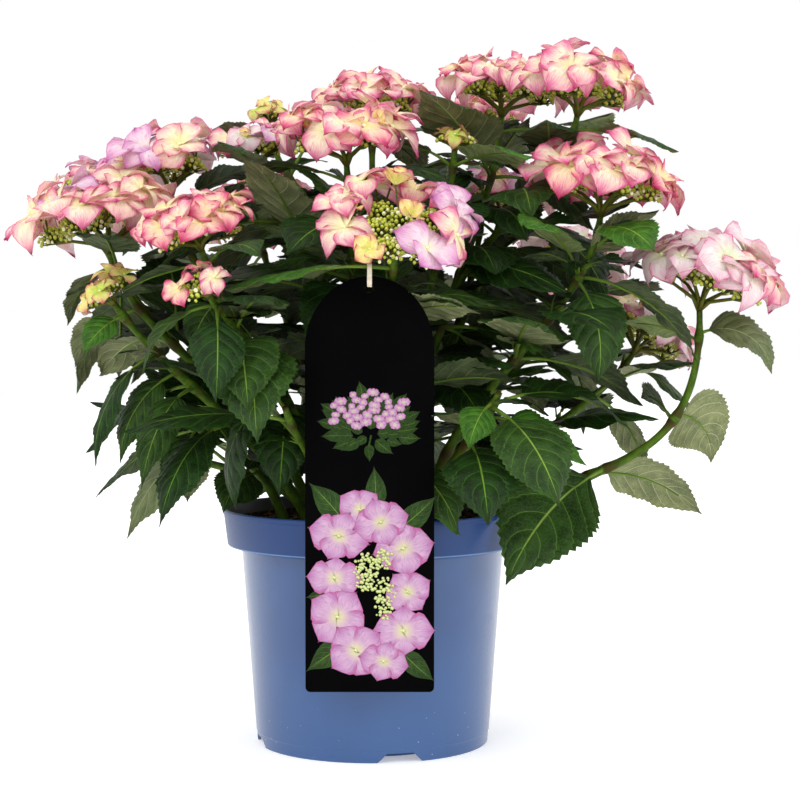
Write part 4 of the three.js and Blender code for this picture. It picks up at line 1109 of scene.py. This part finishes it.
def soilPaint():
    paint = Paint("peatSkin", "dark brown fibre", "1c120c 3d2817 7a5a30")
    where = paint.place()
    crumb, patch = paint.noise(where, 190.0, 5.0, 0.7), paint.noise(where, 30.0)
    thread = paint.noise(paint.stretch(where, (0.3, 0.2, 0.9), (1.0, 5.0, 1.0)), 420.0)
    colour = paint.layers("dark", (crumb.ease(0.35, 0.65), "brown"),
                          (thread.ease(0.64, 0.72) * patch.ease(0.4, 0.6) * 0.8, "fibre"))
    return paint.set(Base_Color=colour, Roughness=0.85 + crumb * 0.12, Specular_IOR_Level=0.25,
                     Normal=paint.bump(crumb, 0.0016, 0.9))


w, c, band = potSet["wall"], potSet["channel"], potSet["height"] - potSet["rimBand"]
inset, rings = soilSet["inset"], soilSet["rings"]
neckInner = potSet["neckRadius"] - w - inset
bandInner = potSet["rimRadius"] - potSet["bandTaper"] - w - inset
topRadius = bandInner + potSet["bandTaper"] / (potSet["rimBand"] - 1) * (soilTop - band - w)
topRings = [(topRadius * (1 - i / rings), soilTop + soilSet["crown"] * i / rings) for i in range(rings + 1)]
soilBm = spun([(0, w + inset), (potSet["footInner"] - 3, w + inset), (potSet["footInner"] - 1, c + w + inset),
               (potSet["footRadius"] - w - 1.5, c + w + inset), (neckInner - 2.4, band - 20),
               (neckInner, band + w + inset), (bandInner - 0.2, band + w + inset + 1.2), *topRings],
              soilSet["steps"])
for v in soilBm.verts:
    p = Vector((v.co.x, v.co.y, 0.0))
    if v.co.z > (soilTop - 0.1) * mm and p.length / mm < topRadius - 0.6:
        lump = noise.fractal(p * 60, 1.0, 2.0, 4) * 2.2 + noise.noise(p * 420) * 1.3
        v.co.z += (lump - 2.2) * mm
show("pottingMix", meshOf(soilBm, "pottingMix"), soilPaint(), 180, "soil")
crumbHeap, fibreHeap = Heap(), Heap()
for i in range(soilSet["crumbs"]):
    far, around = topRadius * 0.985 * math.sqrt(chance(i, 1, 61)), 360 * chance(i, 2, 62)
    place = heading(around) * (far - 1.5) + up * (soilTop + 0.2 - 1.6 * chance(i, 3, 63))
    crumbHeap.ball(place, 0.6 + 1.7 * chance(i, 4, 64) ** 2, heading(77 * i) * 0.5)
for i in range(soilSet["fibres"]):
    far, around = topRadius * 0.95 * math.sqrt(chance(i, 5, 65)), 360 * chance(i, 6, 66)
    place = heading(around) * far + up * (soilTop + 0.4)
    way = heading(360 * chance(i, 7, 67)) + up * 0.3 * (chance(i, 8, 68) - 0.4)
    bent = place + way * 4 + up * 1.2
    fibreHeap.tube([place, bent, bent + way * 3 + heading(90 * i) * 1.5 - up * 1], [0.3, 0.28, 0.2], 4,
                   [0.1, 0.5, 0.9])
crumbHeap.piece("soilCrumbs", soilPaint(), "potting_mix")
paint = Paint("fibreSkin", "dark light", "4a3218 a07b40")
straw = paint.noise(paint.place(), 300.0)
paint.set(Base_Color=paint.layers("dark", (straw.ease(0.3, 0.7), "light")), Roughness=0.7 + straw * 0.2)
fibreHeap.piece("soilFibres", paint.material, "potting_mix")
print("soil filled")


# the label and its strap

tieSet = {"along": 17, "width": 3.4, "band": 1, "halfWidth": 3.8, "straight": 9, "bendSteps": 14,
          "overStalk": 1.2, "slack": 0.5}
labelSet = {"width": 92, "height": 297, "arch": 53, "thick": 0.8, "corner": 3.5, "holeRadius": 3.5,
            "holeDrop": 9, "forward": 2.2}
hang = labelLeaf.along(tieSet["along"])[0][0]
tieTop = hang[2] + tieSet["overStalk"] + tieSet["band"]
tieBottom = tieTop - 2 * tieSet["halfWidth"] - tieSet["straight"]
labelY = hang[1] - labelSet["forward"]
between = (labelSet["forward"] + labelSet["thick"]) / 2
bendHeight = math.sqrt((tieSet["halfWidth"] - tieSet["band"]) ** 2 - between ** 2)
cornerHeight = math.sqrt(labelSet["holeRadius"] ** 2 - (tieSet["width"] / 2) ** 2)
holeZ = tieBottom + tieSet["halfWidth"] - bendHeight + tieSet["slack"] - cornerHeight
labelTop = holeZ + labelSet["holeDrop"]
labelBottom = labelTop - labelSet["height"]


def arc(cx, cz, rx, rz, start, end, steps):
    return [(cx + rx * math.cos(math.radians(start + (end - start) * i / steps)),
             cz + rz * math.sin(math.radians(start + (end - start) * i / steps))) for i in range(steps + 1)]


def makeLabel():
    half, corner, arch = labelSet["width"] / 2, labelSet["corner"], labelSet["arch"]
    outline = (arc(0, labelTop - arch, half, arch, 0, 180, 48)
               + arc(-half + corner, labelBottom + corner, corner, corner, 180, 270, 8)
               + arc(half - corner, labelBottom + corner, corner, corner, 270, 360, 8))
    hole = arc(0, holeZ, labelSet["holeRadius"], labelSet["holeRadius"], 0, 360, 32)[:-1]
    bm = bmesh.new()
    back = (labelY + labelSet["thick"] / 2) * mm
    edges = []
    for loop in (outline, hole):
        verts = [bm.verts.new(((hang[0] + x) * mm, back, z * mm)) for x, z in loop]
        edges += [bm.edges.new((a, b)) for a, b in zip(verts, verts[1:] + verts[:1])]
    bmesh.ops.triangle_fill(bm, use_beauty=True, edges=edges)
    pullOut(bm, bm.faces[:], (0, -labelSet["thick"] * mm, 0))
    return soften(bm, 0.00012, 1.2)


paint = Paint("blackCardSkin", "black grey", "000001 040405")
grit, smear = paint.noise(paint.place(), 700.0, 2.0), paint.noise(paint.place(), 22.0, 4.0)
paint.set(Base_Color=paint.layers("black", (smear.ease(0.4, 0.8) * 0.5, "grey")), Specular_IOR_Level=0.03,
          Roughness=0.5 + smear * 0.14, Normal=paint.bump(grit, 0.00005, 0.4))
show("hangLabel", meshOf(makeLabel(), "hangLabel"), paint.material, 40, "label_card")

# the drawing on the card: a ring of plain florets round buds, and a small bush above
artY = labelY - labelSet["thick"] / 2
artHeaps = {"petal": Heap(), "leaf": Heap(), "bead": Heap()}
facing = -north


def artSpot(x, z, layer):
    return np.array([hang[0] + x, artY - 0.08 - 0.03 * layer, labelBottom + z])


def artSheet(heap, sheet, uvs, spot, out, ahead, across):
    # a flat leaf or petal that starts at its spot and runs out
    depth = facing * (0.03 + sheet["z"] * 0.03)[:, None]
    artHeaps[heap].add(spot + out * ahead[:, None] + np.cross(out, facing) * across[:, None] + depth,
                       sheet, sheet[uvs])


def artLeaf(x, z, turn, length, layer, width=0.5):
    form = leafForms[0]
    s, t = form["sheet"]["s"], form["sheet"]["t"]
    half = np.interp(s, form["s"], form["w"]) * length * width / 2
    artSheet("leaf", form["sheet"], "leafUvs", artSpot(x, z, layer), turned(east, up, turn), length * s,
             half * t + 0.1 * length * s * (1 - s))


def artFloret(x, z, size, turn, layer, squash=1.0):
    s, t = sepalSheet["s"], sepalSheet["t"]
    for j in range(4):
        artSheet("petal", sepalSheet, "sepalUvs", artSpot(x, z, layer + (j % 2) * 0.5),
                 turned(east, up * squash, turn + 90 * j), size * 0.52 * s * (1 - 0.06 * t * t),
                 t * size * 0.3 * np.interp(s, *sepalOutline))
    artHeaps["bead"].ball(artSpot(x, z, layer + 1), size * 0.035)


def spiral(count):
    # seats of a round cluster, from its middle out
    for i in range(count):
        yield (i, *(turned(east, north, golden * i) * math.sqrt((i + 0.5) / count))[:2])


# one large head below, its florets round an oval of buds, and leaves behind
for n, (x, z, turn, length) in enumerate([(-14, 36, 214, 38), (24, 28, 318, 30), (-18, 122, 132, 38),
                                          (22, 118, 42, 34), (-26, 70, 186, 20), (4, 132, 92, 30)]):
    artLeaf(x, z, turn, length, 0.2 * n)
for n, (x, z, size) in enumerate([(24, 103, 41), (-7, 131, 34), (-25, 82, 37), (27, 72, 35), (-22, 112, 42),
                                  (8, 122, 38), (-23, 54, 42), (24, 44, 41), (-10, 30, 40), (10, 22, 34)]):
    artFloret(x, z, size * 1.1, 37 * n + 12, 2 + 0.6 * n, 0.74 + 0.26 * chance(n, 1, 72))
for x, z, wide, tall, count in [(-4, 84, 8, 14, 90), (9, 66, 7, 15, 80), (8, 94, 6, 7, 34)]:
    for i, side, high in spiral(count):
        spot = artSpot(x + side * wide + 3 * chance(i, x, 73), z + high * tall + 3 * chance(i, z, 73), 9)
        artHeaps["bead"].ball(spot, 0.7 + 0.8 * chance(i, x + z, 73))
# a small round bush above, on its stem
stem = [artSpot(x, z, 0.5) for x, z in [(0, 166), (-1, 174), (1, 184)]]
artHeaps["leaf"].tube(stem, [0.8] * 3, 4, np.linspace(0.2, 0.8, 3), (0.26, 0.02))
for n, side, high in spiral(44):
    turn = math.degrees(math.atan2(8 + 16 * high, 27 * side))
    artLeaf(27 * side, 192 + 16 * high, turn, 11 + 6 * chance(n, 6, 74), 1 + 0.06 * n, 0.56)
for n, side, high in spiral(34):
    artFloret(30 * side + 6 * chance(n, 3, 74) - 3, 202 + 13 * high, 6.5 + 3.5 * chance(n, 5, 74),
              25 * n, 4 + 0.12 * n, 0.66)
petalInk = sepalPaint("printedSepalInk", "e9b9dc cf8bc6 f2ecb4 b97ab8 d45f9e", 0.72, 0.8, 0.42, 0.0)
artHeaps["petal"].piece("labelPrintSepals", petalInk, "black_card")
artHeaps["leaf"].piece("labelPrintLeaves", leafPaint("printedLeafInk", leafLooks["olive"]), "black_card")
beadInk = beadPaint("printedBudInk", "8fa552 d8dd9a", 0.0)
artHeaps["bead"].piece("labelPrintBuds", beadInk, "black_card")


def makeTie():
    # one closed band: a square section carried round a stadium
    low, thick = tieBottom + tieSet["halfWidth"], tieSet["band"] / 2
    middle = hang[1] - labelSet["forward"] / 2
    radius = tieSet["halfWidth"] - thick
    line = (arc(0, low + tieSet["straight"], radius, radius, 0, 180, tieSet["bendSteps"])
            + arc(0, low, radius, radius, 180, 360, tieSet["bendSteps"]))
    bm = bmesh.new()
    rings = []
    for i, (y, z) in enumerate(line):
        before, after = line[i - 1], line[(i + 1) % len(line)]
        way = Vector((after[0] - before[0], after[1] - before[1])).normalized()
        out = Vector((way[1], -way[0]))
        wide = tieSet["width"] / 2 * (1 + 0.05 * math.sin(i * 0.9))
        section = [(-wide, thick), (wide, thick), (wide, -thick), (-wide, -thick)]
        places = [(hang[0] + x, middle + y + out[0] * d, z + out[1] * d) for x, d in section]
        rings.append([bm.verts.new(Vector(place) * mm) for place in places])
    loops = [[bm.edges.new((a, b)) for a, b in zip(ring, ring[1:] + ring[:1])] for ring in rings]
    for here, there in zip(loops, loops[1:] + loops[:1]):
        bmesh.ops.bridge_loops(bm, edges=here + there)
    return soften(bm, 0.0003, 1.0)


paint = Paint("whiteStrapSkin", "cream white", "dccfb4 efe5cf")
weave = paint.noise(paint.place(), 900.0, 2.0)
paint.set(Base_Color=paint.layers("cream", (weave.ease(0.3, 0.7), "white")), Roughness=0.45 + weave * 0.15,
          Normal=paint.bump(weave, 0.0002, 0.5))
show("labelStrap", meshOf(makeTie(), "labelStrap"), paint.material, 45, "label_tie")
print("label hung")


# floor and light

bm = bmesh.new()
bmesh.ops.create_grid(bm, x_segments=1, y_segments=1, size=6)
floorMesh = meshOf(bm, "floor")
floorMesh.materials.append(Paint("paleFloor").set(Base_Color=(0.94, 0.94, 0.94), Roughness=0.9,
                                                  Emission_Strength=0.35))
floor = bpy.data.objects.new("floor", floorMesh)
scene.collection.objects.link(floor)

world = bpy.data.worlds.new("studio")
world.use_nodes = True
world.node_tree.nodes["Background"].inputs["Color"].default_value = (1, 1, 1, 1)
world.node_tree.nodes["Background"].inputs["Strength"].default_value = 1.0
scene.world = world

lightSet = {
    "key": {"place": (-1.1, -1.7, 1.7), "size": 1.3, "power": 17},
    "fill": {"place": (1.6, -1.3, 0.9), "size": 1.5, "power": 9},
    "top": {"place": (0.2, 0.3, 2.2), "size": 1.6, "power": 6},
}
for name, spec in lightSet.items():
    data = bpy.data.lights.new(name, "AREA")
    data.energy, data.size = spec["power"], spec["size"]
    aimed(name, data, spec["place"], (0, 0, 0.3))
print("lit")
